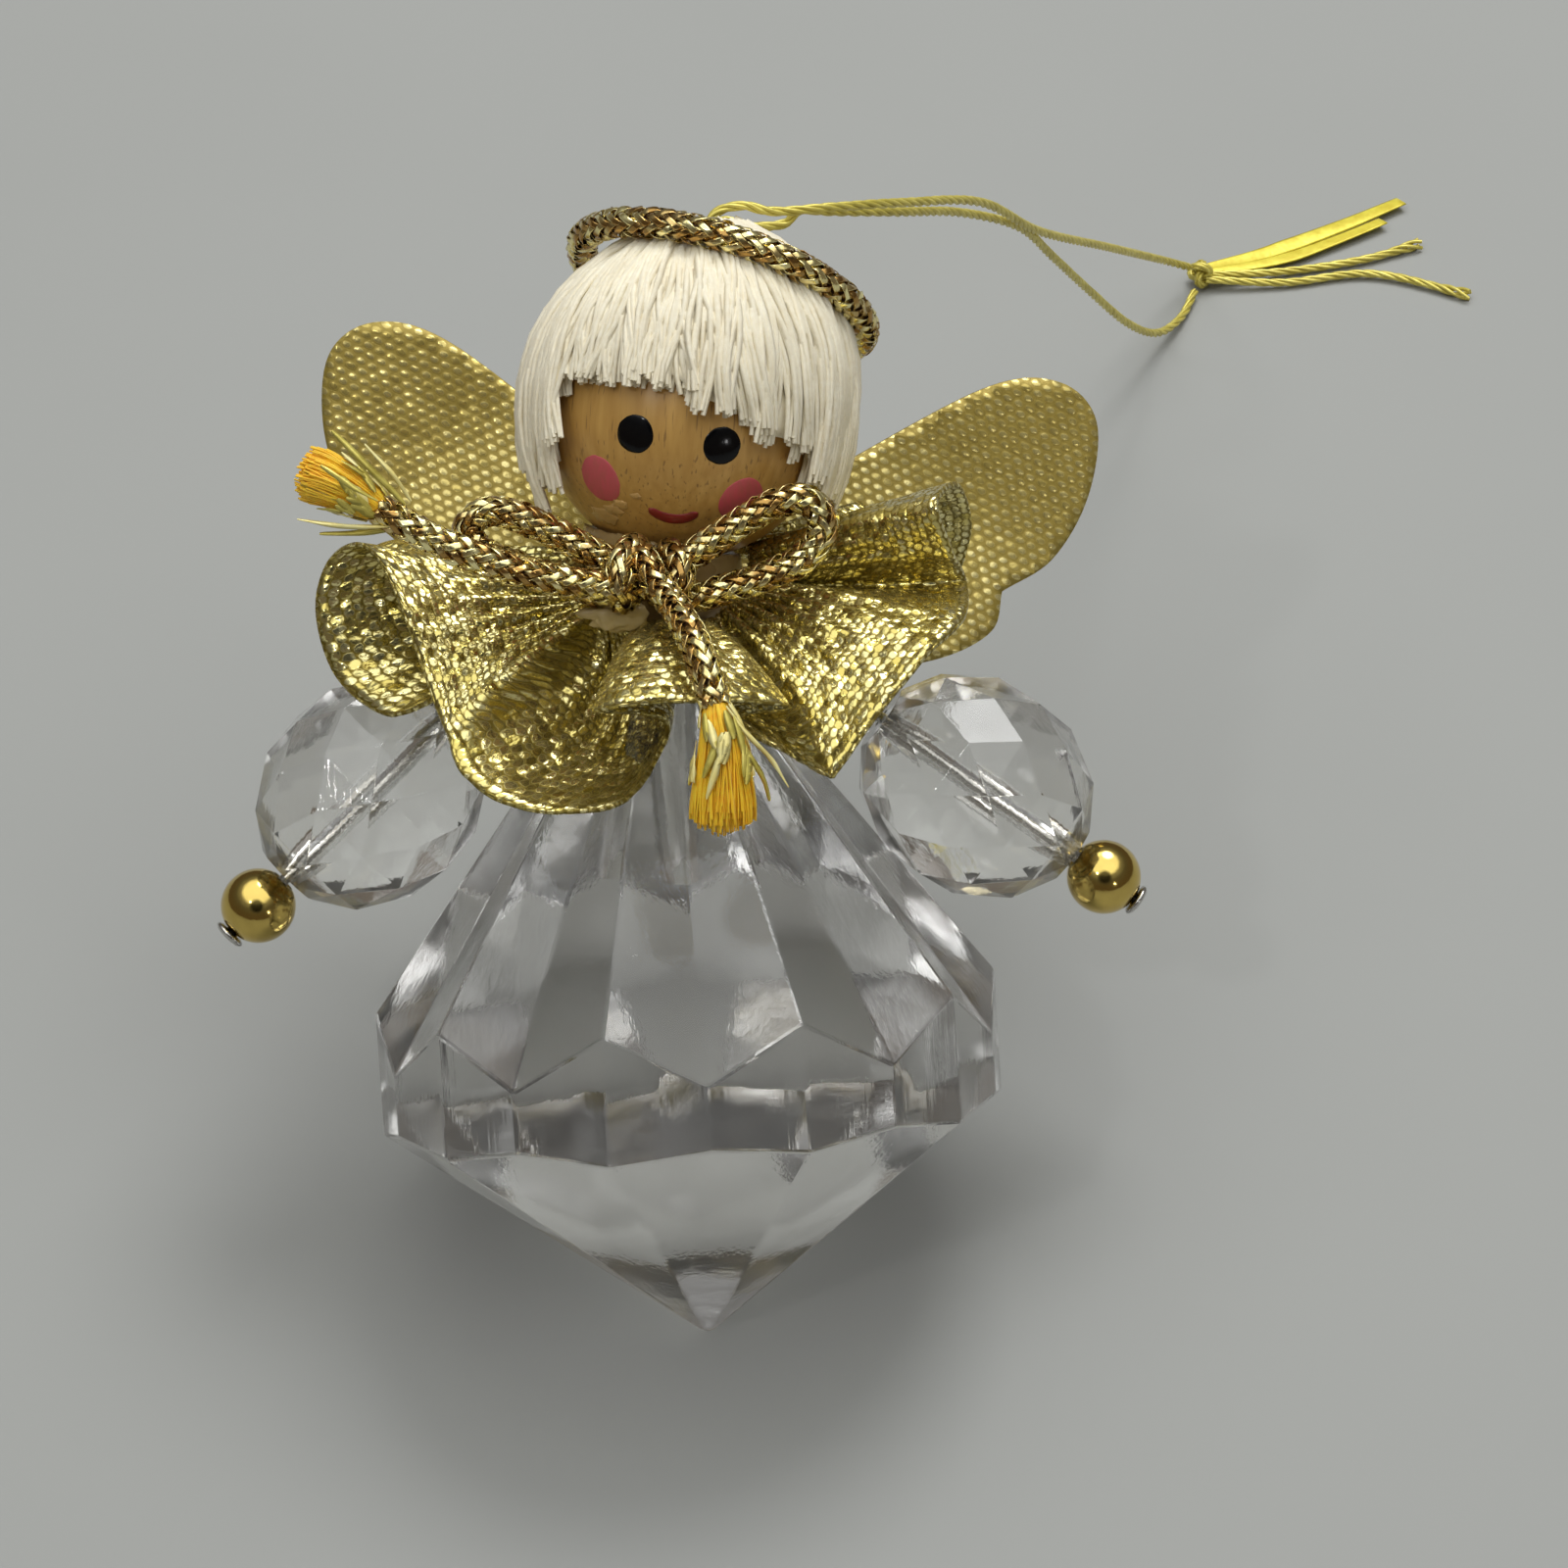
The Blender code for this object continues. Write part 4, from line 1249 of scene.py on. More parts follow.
@dataclass
class PaintedHead:
    """The wooden bead with its painted face.

    Attributes:
        lip: Width and depth of the rounding at the hole.
        eyes: Turn and polar angle of each eye on the bead, in degrees.
        cheeks: The same of each cheek.
        smile: The same along the line of the mouth.
        smears: The same of each smear of glue, and its size.
        paint: Height of the paint.
    """

    finishes: Finishes
    layout: Layout
    radius: float = 10.0
    bore_radius: float = 2.0
    lip: Pair = (0.35, 0.3)
    eyes: tuple[Pair, ...] = ((-18.6, 97.7), (16.0, 99.7))
    eye_size: Pair = (1.3, 1.3)
    cheeks: tuple[Pair, ...] = ((-37.3, 117.7), (30.4, 122.0))
    cheek_size: Pair = (1.6, 1.75)
    smile: tuple[Pair, ...] = (
        (-14.4, 129.2), (-9.8, 132.3), (-2.0, 134.0), (5.6, 132.8), (10.6, 129.4),
    )
    smile_width: float = 0.48
    paint: float = 0.1
    smears: tuple[Triple, ...] = (
        (-46.0, 137.0, 1.0), (-30.0, 128.4, 0.5), (-36.0, 132.0, 0.6), (-20.0, 124.0, 0.3),
    )

    def build(self) -> None:
        """Builds the bead and then its paint."""
        self.build_bead()
        for side, (turn, polar) in zip(("left", "right"), self.eyes):
            self.build_spot(f"{side}_eye", turn, polar, self.eye_size, self.finishes.eye)
        for side, (turn, polar) in zip(("left", "right"), self.cheeks):
            self.build_spot(f"{side}_cheek", turn, polar, self.cheek_size, self.finishes.cheek)
        self.build_smile()
        self.build_smears()

    def build_bead(self) -> None:
        """Spins the bead, with a rounded lip at both ends of its hole."""
        place = Matrix.Translation(self.layout.head_centre) @ self.layout.head_turn.to_matrix().to_4x4()
        made = bmesh.new()
        lathe(made, drilled_ball(self.radius, self.bore_radius, self.lip, 56), 80, place)
        place_piece("head", made, [self.finishes.wood], Slot.WOOD, ["head_bead"])

    def on_face(self, turn: float, polar: float, aside: float, up: float, rise: float) -> Vector:
        """Gives a point aside from, up from and over a place of the face that is given in degrees."""
        near = math.radians(polar) - up / self.radius
        far = math.radians(turn) + aside / (self.radius * math.sin(near))
        return self.layout.on_head(far, near, self.radius + rise)

    def build_spot(self, name: str, turn: float, polar: float, size: Pair, finish: Material) -> None:
        """Builds a spot of paint, of some half width and half height, as a lens that follows the bead."""
        made = bmesh.new()
        bmesh.ops.create_uvsphere(made, u_segments=36, v_segments=16, radius=1.0)
        for vert in made.verts:
            x, y, z = vert.co
            ragged = 1.0 + 0.035 * noise.noise(Vector((3 * x + turn, 3 * y, polar)))
            vert.co = self.on_face(turn, polar, x * size[0] * ragged, y * size[1] * ragged, self.paint * z)
        bmesh.ops.recalc_face_normals(made, faces=made.faces[:])
        place_piece(name, made, [finish], Slot.WOOD)

    def build_smile(self) -> None:
        """Builds the mouth as one brush stroke, thicker in the middle."""
        line = [self.on_face(turn, polar, 0.0, 0.0, 0.0) for turn, polar in self.smile]
        path = Line.through(line, 0.12)
        last = len(path.points) - 1
        widths = [self.smile_width * (0.66 + 0.34 * math.sin(math.pi * k / last)) for k in range(last + 1)]
        caps = [1.0 - (1.0 - min(1.0, k / 3.0, (last - k) / 3.0)) ** 2 for k in range(last + 1)]
        made = bmesh.new()
        sides = 10

        def place(step: int, corner: int) -> Vector:
            out = (path.points[step] - self.layout.head_centre).normalized()
            aside = out.cross(path.alongs[step]).normalized()
            angle = TURN * corner / sides
            wide = max(0.02, caps[step]) * widths[step]
            spread = path.points[step] + aside * (wide * math.cos(angle))
            way = (spread - self.layout.head_centre).normalized()
            return self.layout.head_centre + way * (self.radius + self.paint * math.sin(angle))

        mapped_grid(made, last, sides, place)
        close_up(made)
        place_piece("smile", made, [self.finishes.lip], Slot.WOOD)

    def build_smears(self) -> None:
        """Builds the dried smears of glue beside the mouth."""
        made = bmesh.new()
        for turn, polar, size in self.smears:
            verts = bmesh.ops.create_uvsphere(made, u_segments=24, v_segments=12, radius=1.0)["verts"]
            for vert in verts:
                x, y, z = vert.co
                ragged = 1.0 + 0.5 * noise.noise(Vector((1.7 * x + turn, 1.7 * y, polar)))
                rise = 0.1 * z * (1.0 + 0.6 * noise.noise(Vector((4 * x, 4 * y, turn))))
                vert.co = self.on_face(turn, polar, 1.3 * x * size * ragged, 0.8 * y * size * ragged, rise)
        bmesh.ops.recalc_face_normals(made, faces=made.faces[:])
        place_piece("glue_smears", made, [self.finishes.smear], Slot.GLUE)


@dataclass
class YarnHair:
    """Cotton yarn glued over the bead: a cut fringe, and a longer fall at the sides and the back.

    Attributes:
        side_radius: Radius of the hair at the sides of the head.
        top_radius: Radius of the hair at the crown.
        parting: Polar angle where the yarn starts.
        fringe_edge: Rows of turn and polar angle along the cut of the fringe, in degrees.
        fringe_half_width: Turn of the sides of the fringe, in degrees.
        fall_edge: Polar angle of the fall's cut beside the face and behind, in degrees.
        lock_radius: Least and greatest radius of a lock of fibres.
        parted: Turn and half width of the gap in the fringe, in degrees.
        tufts: Fuller places: the turn, polar angle and spread of each in degrees, and its height.
        forelocks: Locks beside the face: turn at the crown, turn and polar angle at the tip, and lift.
    """

    finishes: Finishes
    layout: Layout
    head_radius: float = 10.0
    side_radius: float = 11.7
    top_radius: float = 12.5
    parting: Pair = (9.0, 15.0)
    fringe_half_width: float = 57.0
    fringe_edge: tuple[Pair, ...] = (
        (-57.0, 84.0), (-44.0, 81.0), (-20.0, 78.5), (-6.0, 77.0), (0.5, 81.0), (10.0, 86.0), (17.0, 88.0),
        (26.0, 89.5), (31.0, 97.0), (40.0, 98.0), (51.0, 101.0), (57.0, 104.0),
    )
    fall_edge: Pair = (112.0, 122.0)
    fringe_locks: int = 21
    fall_locks: int = 41
    lock_radius: Pair = (0.55, 0.95)
    fibres: int = 14
    fibre_radius: float = 0.26
    points: int = 12
    parted: Pair = (5.0, 3.6)
    tufts: tuple[tuple[float, float, float, float], ...] = ((80.0, 8.0, 17.0, 1.2), (72.0, 50.0, 20.0, 0.8))
    forelocks: tuple[tuple[float, float, float, float], ...] = (
        (-60.0, -45.0, 101.0, 0.7), (-64.0, -58.0, 119.0, 0.5), (-70.0, -66.0, 124.0, 0.4),
        (62.0, 56.0, 108.0, 0.4), (68.0, 64.0, 118.0, 0.4),
    )
    seed: int = 11

    def build(self) -> None:
        """Builds the fringe and the fall."""
        chance = random.Random(self.seed)
        side = self.fringe_half_width
        locks = self.rows_of_locks(chance, -side, side, self.fringe_locks, self.fringe_cut)
        self.place_hair("hair_fringe", locks, -side, side, self.fringe_cut)
        start, stop = side + 1.5, 360.0 - side - 1.5
        locks = self.rows_of_locks(chance, start, stop, self.fall_locks, self.fall_cut)
        for root, tip, polar, lift in self.forelocks:
            for _ in range(2):
                locks += self.lock(chance, root + chance.uniform(-3, 3), tip, polar, lift)
        self.place_hair("hair_fall", locks, start, stop, self.fall_cut)

    def rows_of_locks(
        self, chance: random.Random, start: float, stop: float, count: int, cut: Callable[[float], float],
    ) -> list[Strand]:
        """Lays two layers of locks side by side.

        Args:
            chance: Source of the small differences.
            start: Turn of the first side, in degrees.
            stop: Turn of the other side, in degrees.
            count: Locks in a layer.
            cut: Rule for the polar angle of the cut.

        Returns:
            The fibres of all the locks.
        """
        made = []
        middle, gap = self.parted
        for layer, shift in ((-0.55, 0.0), (0.0, 0.5)):
            for k in range(count):
                turn = start + (stop - start) * (k + 0.25 + shift) / count
                aside = turn - middle
                combed = turn + math.copysign(max(0.0, gap - 0.6 * abs(aside)), aside)
                made += self.lock(chance, turn, combed + chance.uniform(-3.6, 3.6), cut(turn), layer)
        return made

    def fringe_cut(self, turn: float) -> float:
        """Gives the polar angle of the fringe's cut at a turn."""
        return interpolated(self.fringe_edge, turn)

    def fall_cut(self, turn: float) -> float:
        """Gives the polar angle of the fall's cut at a turn."""
        share = (1.0 - math.cos(math.radians(turn))) / 2
        return self.fall_edge[0] + (self.fall_edge[1] - self.fall_edge[0]) * share

    def surface(self, polar: float) -> float:
        """Gives the outer radius of the hair at a polar angle; below the brow it hangs off the bead."""
        out = math.hypot(math.sin(polar) / self.side_radius, math.cos(polar) / self.top_radius)
        return 1.0 / out + 0.4 * max(0.0, polar - math.radians(92.0)) / math.radians(30.0)

    def tuft(self, turn: float, polar: float) -> float:
        """Gives the height of the tufts over the hair."""
        total = 0.0
        for middle, down, spread, height in self.tufts:
            facing = math.radians(turn - middle)
            apart = math.cos(polar) * math.cos(math.radians(down))
            apart += math.sin(polar) * math.sin(math.radians(down)) * math.cos(facing)
            away = math.degrees(math.acos(max(-1.0, min(1.0, apart)))) / spread
            total += height * math.exp(-away * away / 2)
        return total

    def lock(
        self, chance: random.Random, root: float, tip: float, polar: float, lift: float,
    ) -> list[Strand]:
        """Lays one lock of fibres from the crown to its cut tip.

        Args:
            chance: Source of the small differences.
            root: Turn of its root, in degrees.
            tip: Turn of its tip, in degrees.
            polar: Polar angle of its tip, in degrees.
            lift: How far its tip stands off the hair.

        Returns:
            Its fibres.
        """
        made = []
        thick = chance.uniform(*self.lock_radius)
        ends = polar + chance.uniform(-2.6, 2.0)
        swing = chance.uniform(1.5, 5.5)
        wave = chance.uniform(0.0, TURN)
        sunk = chance.uniform(-0.4, 0.12)
        for _ in range(self.fibres):
            angle = chance.uniform(0.0, TURN)
            spot = thick * math.sqrt(chance.random())
            start = chance.uniform(*self.parting)
            stop = ends + chance.uniform(-2.0, 1.2)
            own = chance.uniform(0.0, TURN)
            points = []
            radii = []
            for k in range(self.points):
                share = k / (self.points - 1)
                down = math.radians(start + (stop - start) * share)
                full = 0.6 + 0.45 * math.sin(math.pi * min(1.0, 1.15 * share))
                turn = root + (tip - root) * share ** 1.5 + swing * share * math.sin(wave + 4.2 * share)
                rise = sunk - 0.75 * thick + lift * share ** 2 + spot * full * 0.6 * math.sin(angle)
                rise += 0.13 * math.sin(own + 10.0 * share) + self.tuft(turn, down)
                radius = self.surface(down) + rise
                aside = spot * full * math.cos(angle) + 0.3 * math.sin(own + 7.0 * share)
                turn += math.degrees(aside / (radius * max(0.35, math.sin(down))))
                points.append(self.layout.on_head(math.radians(turn), down, radius))
                radii.append(self.fibre_radius * (1.0 - 0.35 * share ** 3))
            made.append(Strand(points, radii))
        return made

    def place_hair(
        self, node: str, locks: list[Strand], start: float, stop: float, cut: Callable[[float], float],
    ) -> None:
        """Builds a piece of hair: the locks, over a layer of yarn on the bead.

        Args:
            node: CAD node that it stands for.
            locks: Its fibres.
            start: Turn of its first side, in degrees.
            stop: Turn of its other side, in degrees.
            cut: Rule for the polar angle of its cut.
        """
        made = bmesh.new()
        name = node + "_yarn"
        columns = round(abs(stop - start) / 2.5)
        rows = 20

        def place(column: int, row: int) -> Vector:
            turn = start + (stop - start) * column / columns
            polar = 10.0 + (cut(turn) - 3.0 - 10.0) * row / rows
            ridge = 0.18 * math.sin(2.1 * turn) + 0.12 * math.sin(5.3 * turn + 1.0)
            radius = self.head_radius + 0.3 + ridge * 0.5
            if abs(turn - self.parted[0]) < 0.7 * self.parted[1] and polar > 45.0:
                radius = self.head_radius - 0.6
            return self.layout.on_head(math.radians(turn), math.radians(polar), radius)

        faces = faces_of(mapped_grid(made, columns, rows, place))
        bmesh.ops.recalc_face_normals(made, faces=faces)
        bmesh.ops.solidify(made, geom=faces, thickness=0.35)
        made.from_mesh(strand_mesh(name, locks, 0))
        place_piece(name, made, [self.finishes.yarn], Slot.YARN, [node])


@dataclass
class Halo:
    """Ring of braided cord over the hair."""

    finishes: Finishes
    layout: Layout
    normal: Triple = (0.37, 0.32, 0.86)
    radius: float = 10.2
    braid: Braid = Braid()

    def build(self) -> None:
        """Builds the ring."""
        made = bmesh.new()
        normal = Vector(self.normal).normalized()
        ring = Line.ring(self.layout.halo_centre, normal, self.radius, self.braid.spacing)
        self.braid.build(made, ring, closed=True)
        place_piece("halo", made, self.finishes.braid, Slot.BRAID, ["halo_ring"])


@dataclass
class Collar:
    """Ruffle of woven ribbon, gathered round the neck.

    Attributes:
        edge: Free edge of the ribbon, fold by fold: the turn of its gathered end in degrees, the point
            from the top of the neck, and how far the ribbon arches out and up between the two.
        steps: Steps of the mesh from fold to fold.
        columns: Steps of the mesh from the gathers to the free edge.
        pleat: Depth of the small gathers at the neck, and their spacing along the free edge.
        crinkle: Depth of the crinkles over the whole ribbon.
        ripple: Depth of the finest ripples.
        gathered: Share of the flat ribbon that its gathers leave; not used.
    """

    finishes: Finishes
    layout: Layout
    gather_x: float = 0.4
    gather_radius: float = 6.0
    front_rise: float = 1.2
    side_rise: float = 4.6
    thickness: float = 0.3
    steps: int = 14
    columns: int = 26
    pleat: Pair = (0.42, 2.6)
    crinkle: float = 0.16
    ripple: float = 0.05
    gathered: float = 0.62
    edge: tuple[tuple[float, Triple, float, float], ...] = (
        (-128.0, (-17.0, 8.5, 8.0), 0.0, 0.6), (-122.0, (-19.6, 6.2, 6.3), 0.0, 0.6),
        (-106.0, (-14.0, -1.6, -2.7), -4.0, 0.2), (-98.0, (-15.6, -5.4, -2.2), -6.0, -0.4),
        (-92.0, (-19.2, -3.8, -3.4), -5.4, -0.4), (-86.0, (-22.5, -1.4, -0.8), -3.6, 0.2),
        (-80.0, (-23.6, -0.8, 3.6), -2.0, 0.6), (-75.0, (-22.6, -1.0, 7.0), -0.6, 0.6),
        (-69.0, (-20.3, -2.6, 8.2), 0.2, 0.2), (-63.0, (-18.7, -4.8, 6.4), 0.0, 0.0),
        (-58.0, (-17.2, -6.8, 2.0), 0.0, 0.0), (-54.0, (-16.1, -9.0, -2.0), 0.2, 0.2),
        (-52.8, (-15.6, -10.2, -3.6), 0.9, 0.6), (-52.2, (-15.3, -10.8, -4.4), 0.0, 0.2),
        (-51.4, (-15.1, -11.2, -5.0), -5.0, -0.8), (-49.0, (-14.9, -11.8, -5.9), -8.0, -1.6),
        (-45.0, (-14.1, -12.7, -7.2), -9.4, -2.2),
        (-41.0, (-11.8, -13.4, -9.0), -9.4, -2.8), (-36.0, (-8.0, -13.6, -9.9), -8.8, -2.8),
        (-31.0, (-3.7, -12.6, -9.4), -7.6, -2.2), (-21.0, (-0.4, -8.8, -4.9), -4.6, -1.0),
        (-11.0, (-5.6, -16.4, -3.1), 0.0, 3.2), (-1.0, (0.8, -18.1, -2.7), 0.0, 4.5),
        (11.0, (7.3, -15.6, -3.7), 0.0, 3.2), (22.0, (4.0, -8.8, -5.0), -3.8, -0.8),
        (29.0, (7.6, -11.6, -7.4), -4.4, -1.2), (33.0, (9.8, -14.2, -8.7), -1.6, 0.2),
        (35.0, (10.6, -14.6, -8.2), 1.2, 1.2), (47.0, (13.8, -14.0, -4.3), 0.3, 0.6),
        (54.0, (17.1, -12.4, -1.2), 0.4, 0.8), (60.0, (20.0, -9.2, 0.9), 0.6, 0.8),
        (67.0, (20.8, -4.2, 3.0), -6.0, -0.4), (74.0, (19.6, -7.6, 5.4), -1.0, 0.4),
        (82.0, (18.6, -9.0, 8.8), 0.0, 0.4), (90.0, (20.6, -4.6, 9.7), 0.0, 0.4),
        (98.0, (21.8, 0.4, 6.3), 0.0, 0.6), (106.0, (20.2, 3.4, 1.9), 0.0, 0.6),
        (114.0, (17.6, 6.4, 2.1), 0.0, 0.6), (122.0, (17.4, 8.8, 5.9), 0.0, 0.6),
        (128.0, (15.0, 10.2, 8.1), 0.0, 0.6),
    )

    def gather_point(self, turn: float) -> Vector:
        """Gives the gathered end of the ribbon at a turn round the neck."""
        return Vector((
            self.gather_x + self.gather_radius * math.sin(turn),
            -self.gather_radius * math.cos(turn),
            self.front_rise + self.side_rise * min(1.0, 1.0 - math.cos(turn)),
        ))

    def build(self) -> None:
        """Builds the ruffle, with its flat-cloth UV map and its thickness."""
        edge = smooth_path([point for _, point, _, _ in self.edge], self.steps)
        rest = smooth_path([(math.radians(turn), out, up) for turn, _, out, up in self.edge], self.steps)
        travelled = travel(edge)
        widths = [(self.gather_point(row[0]) - point).length for row, point in zip(rest, edge)]
        width = sum(widths) / len(edge)

        def place(step: int, column: int) -> Vector:
            share = column / self.columns
            turn, out, up = rest[step]
            inner = self.gather_point(turn)
            middle = (inner + edge[step]) / 2
            middle += Vector((out * math.sin(turn), -out * math.cos(turn), up))
            line = inner * (1 - share) ** 2 + middle * (2 * share * (1 - share)) + edge[step] * share ** 2
            return self.layout.from_neck(line)

        made = bmesh.new()
        verts = mapped_grid(made, len(edge) - 1, self.columns, place)
        bmesh.ops.recalc_face_normals(made, faces=made.faces[:])
        made.normal_update()
        flat = []
        shifts = []
        for index, vert in enumerate(verts):
            step, column = index % len(edge), index // len(edge)
            share = column / self.columns
            flat.append((travelled[step], share * width))
            deep, apart = self.pleat
            gathers = deep * (1.0 - share) ** 1.4 * math.sin(TURN * travelled[step] / apart)
            crease = self.crinkle * noise.noise(Vector((travelled[step] / 2.6, share * width / 5.0, 0.5)))
            fine = self.ripple * noise.noise(Vector((travelled[step] / 0.8, share * width / 0.8, 4.5)))
            held = 1.0 if column else 0.5
            shifts.append(vert.normal * (gathers * held + crease + fine))
        for vert, shift in zip(verts, shifts):
            vert.co += shift
        mesh = finished_mesh("collar", made)
        lay_uv(mesh, flat)
        ruffle = place_piece("collar", mesh, [self.finishes.ribbon], Slot.LAME, ["collar_ruffle"])
        thicken(ruffle, self.thickness)


@dataclass
class Wings:
    """Both wings in one sheet of stiff metallic cloth, folded up the middle.

    Attributes:
        root: Middle of the fold, from the top of the neck.
        roll: Turn of the sheet about the line of sight.
        sweep: How far the wings swing back for each millimetre out.
        upper: Outline of the upper lobe, out from the fold and up from the root.
        lower: Outline of the lower lobe.
        weave_step: Spacing of the cuts that divide the sheet.
        ripple: Height and length of the slow ripples.
    """

    finishes: Finishes
    layout: Layout
    root: Triple = (4.0, 13.0, 5.5)
    roll: float = math.radians(8.7)
    sweep: float = 0.158
    thickness: float = 0.4
    upper: tuple[Pair, ...] = (
        (0.0, 1.2), (5.0, 3.4), (10.3, 7.3), (19.4, 13.0), (24.6, 13.8), (27.6, 11.2), (27.5, 5.8),
        (25.3, 1.1), (21.8, -1.5),
    )
    lower: tuple[Pair, ...] = (
        (21.8, -1.5), (21.3, -4.4), (17.8, -6.6), (13.0, -7.5), (7.0, -6.6), (0.0, -4.2),
    )
    weave_step: float = 1.0
    ripple: Pair = (0.22, 9.0)

    def build(self) -> None:
        """Cuts the sheet and bends it along the fold, with its flat-cloth UV map and its thickness."""
        made = bmesh.new()
        outline = smooth_path([(u, v, 0.0) for u, v in self.upper], 8)[:-1]
        outline += smooth_path([(u, v, 0.0) for u, v in self.lower], 8)
        made.faces.new([made.verts.new(point) for point in outline])
        reach = max(point.x for point in outline)
        low, high = min(point.y for point in outline), max(point.y for point in outline)
        cuts = [((k * self.weave_step, 0.0, 0.0), (1.0, 0.0, 0.0)) for k in range(1, int(reach) + 1)]
        rows = range(math.floor(low) + 1, math.ceil(high))
        cuts += [((0.0, k * self.weave_step, 0.0), (0.0, 1.0, 0.0)) for k in rows]
        for point, normal in cuts:
            whole = [*made.verts, *made.edges, *made.faces]
            bmesh.ops.bisect_plane(made, geom=whole, dist=CUT, plane_co=point, plane_no=normal)
        area = 2 * sum(found.calc_area() for found in made.faces)
        bmesh.ops.mirror(made, geom=[*made.verts, *made.edges, *made.faces], axis="X", merge_dist=WELD)
        bmesh.ops.recalc_face_normals(made, faces=made.faces[:])
        turn = Matrix.Rotation(self.roll, 3, "Y")
        root = self.layout.from_neck(self.root)
        height, wave = self.ripple
        flat = []
        for vert in made.verts:
            u, v = vert.co.x, vert.co.y
            flat.append((u + WING_UV[0], v + WING_UV[1]))
            ripple = height * noise.noise(Vector((u / wave, v / wave, 2.0)))
            vert.co = root + turn @ Vector((u, abs(u) * self.sweep + ripple, v))
        made.verts.index_update()
        mesh = finished_mesh("wings_sheet", made)
        lay_uv(mesh, flat)
        sheet = place_piece("wings_sheet", mesh, [self.finishes.wing], Slot.LAME, ["wings"])
        thicken(sheet, self.thickness)


@dataclass
class Bow:
    """Bow of braided cord, with its frayed ends.

    Attributes:
        front: Front of the gathers, from the top of the neck.
        cords: Loops and tails by CAD node, from there.
        wraps: The cord's turns round the crossing, from there.
        tassels: Frayed ends by CAD node, from there, with the radius that each opens to.
        strays: Loose foil strips beside each frayed end.
        shades: Finishes that the strips on each frayed end are drawn from.
    """

    finishes: Finishes
    layout: Layout
    front: Triple = (0.0, -6.0, 0.0)
    wraps: tuple[tuple[Triple, ...], ...] = (
        (
            (-1.9, 0.2, 4.2), (-2.6, -2.0, 3.8), (-3.0, -3.9, 3.9), (-3.1, -4.9, 4.9), (-2.9, -4.7, 6.1),
            (-2.3, -3.5, 6.9), (-1.8, -1.6, 7.0), (-1.5, 0.2, 6.2),
        ),
        (
            (0.2, 0.2, 6.2), (0.7, -1.2, 6.5), (1.0, -2.7, 6.0), (1.0, -3.5, 5.0), (0.6, -3.3, 4.1),
            (0.2, -2.2, 3.6), (-0.2, -0.6, 3.6),
        ),
    )
    cords: dict[str, tuple[Triple, ...]] = field(default_factory=lambda: {
        "bow_left_loop": (
            (-1.6, -1.6, 5.4), (-3.0, -2.0, 6.0), (-5.1, -2.4, 7.2), (-8.5, -2.8, 9.2), (-11.2, -2.8, 10.2),
            (-12.9, -2.6, 9.3), (-12.3, -2.6, 7.7), (-9.8, -2.6, 6.3), (-6.4, -2.4, 5.0), (-3.4, -2.0, 3.8),
            (-1.8, -1.6, 3.6),
        ),
        "bow_right_loop": (
            (-0.2, -1.6, 5.2), (1.0, -2.0, 5.7), (2.6, -2.5, 6.7), (5.0, -3.0, 8.1), (7.6, -3.2, 9.4),
            (9.9, -3.0, 9.5), (10.9, -2.8, 7.8), (9.7, -2.6, 5.8), (7.0, -2.5, 4.6), (4.2, -2.4, 3.9),
            (1.8, -2.0, 3.4), (0.2, -1.6, 3.6),
        ),
        "bow_left_tail": (
            (-1.8, -3.2, 4.4), (-3.0, -4.5, 4.5), (-5.0, -4.9, 4.9), (-8.5, -5.4, 5.8), (-12.9, -5.6, 7.5),
            (-16.1, -5.7, 9.2), (-18.9, -5.6, 11.1),
        ),
        "bow_front_tail": (
            (-1.7, -1.0, 6.6), (-1.6, -3.2, 6.6), (-1.1, -5.0, 5.6), (-0.4, -6.0, 4.4), (0.3, -7.4, 3.3),
            (0.9, -9.9, 2.0), (1.7, -12.7, -0.3), (2.3, -14.1, -3.1),
        ),
    })
    tassels: dict[str, tuple[tuple[Triple, ...], float]] = field(default_factory=lambda: {
        "left_tassel": (
            ((-18.6, -5.6, 10.9), (-20.6, -5.3, 12.3), (-22.2, -4.8, 13.2), (-23.8, -4.2, 13.8)), 2.0,
        ),
        "front_tassel": (
            ((2.3, -14.1, -2.8), (2.5, -14.2, -5.5), (2.4, -13.9, -8.5), (2.2, -13.6, -11.4)), 2.3,
        ),
    })
    braid: Braid = Braid()
    strays: dict[str, tuple[tuple[Triple, ...], ...]] = field(default_factory=lambda: {
        "left_tassel": (
            ((-17.6, -6.2, 9.8), (-21.0, -6.3, 10.0), (-24.2, -6.1, 10.7)),
            ((-17.8, -6.2, 10.6), (-20.8, -6.4, 11.6), (-23.8, -6.0, 13.0)),
            ((-17.0, -6.4, 11.2), (-19.2, -6.7, 13.8), (-21.5, -6.4, 16.4)),
            ((-16.6, -6.5, 11.4), (-17.8, -7.0, 13.4), (-19.4, -6.9, 15.4)),
            ((-18.8, -7.4, 11.6), (-20.6, -7.7, 12.8), (-22.4, -7.4, 14.2)),
            ((-17.8, -5.8, 9.6), (-20.4, -5.6, 9.5), (-22.8, -5.4, 9.6)),
        ),
        "front_tassel": (
            ((2.9, -15.0, -2.9), (4.2, -15.0, -4.9), (5.6, -14.6, -6.6), (6.7, -14.0, -8.6)),
            ((2.7, -15.0, -3.4), (3.9, -14.9, -5.6), (5.0, -14.5, -7.8), (5.4, -14.0, -9.4)),
        ),
    })
    shades: dict[str, tuple[int, ...]] = field(default_factory=lambda: {
        "left_tassel": (1, 2, 2), "front_tassel": (1, 1, 2),
    })
    fibres: int = 640
    fibre_radius: float = 0.07
    strips: int = 36
    fray_step: float = 0.45
    strip_step: float = 0.3
    seed: int = 5

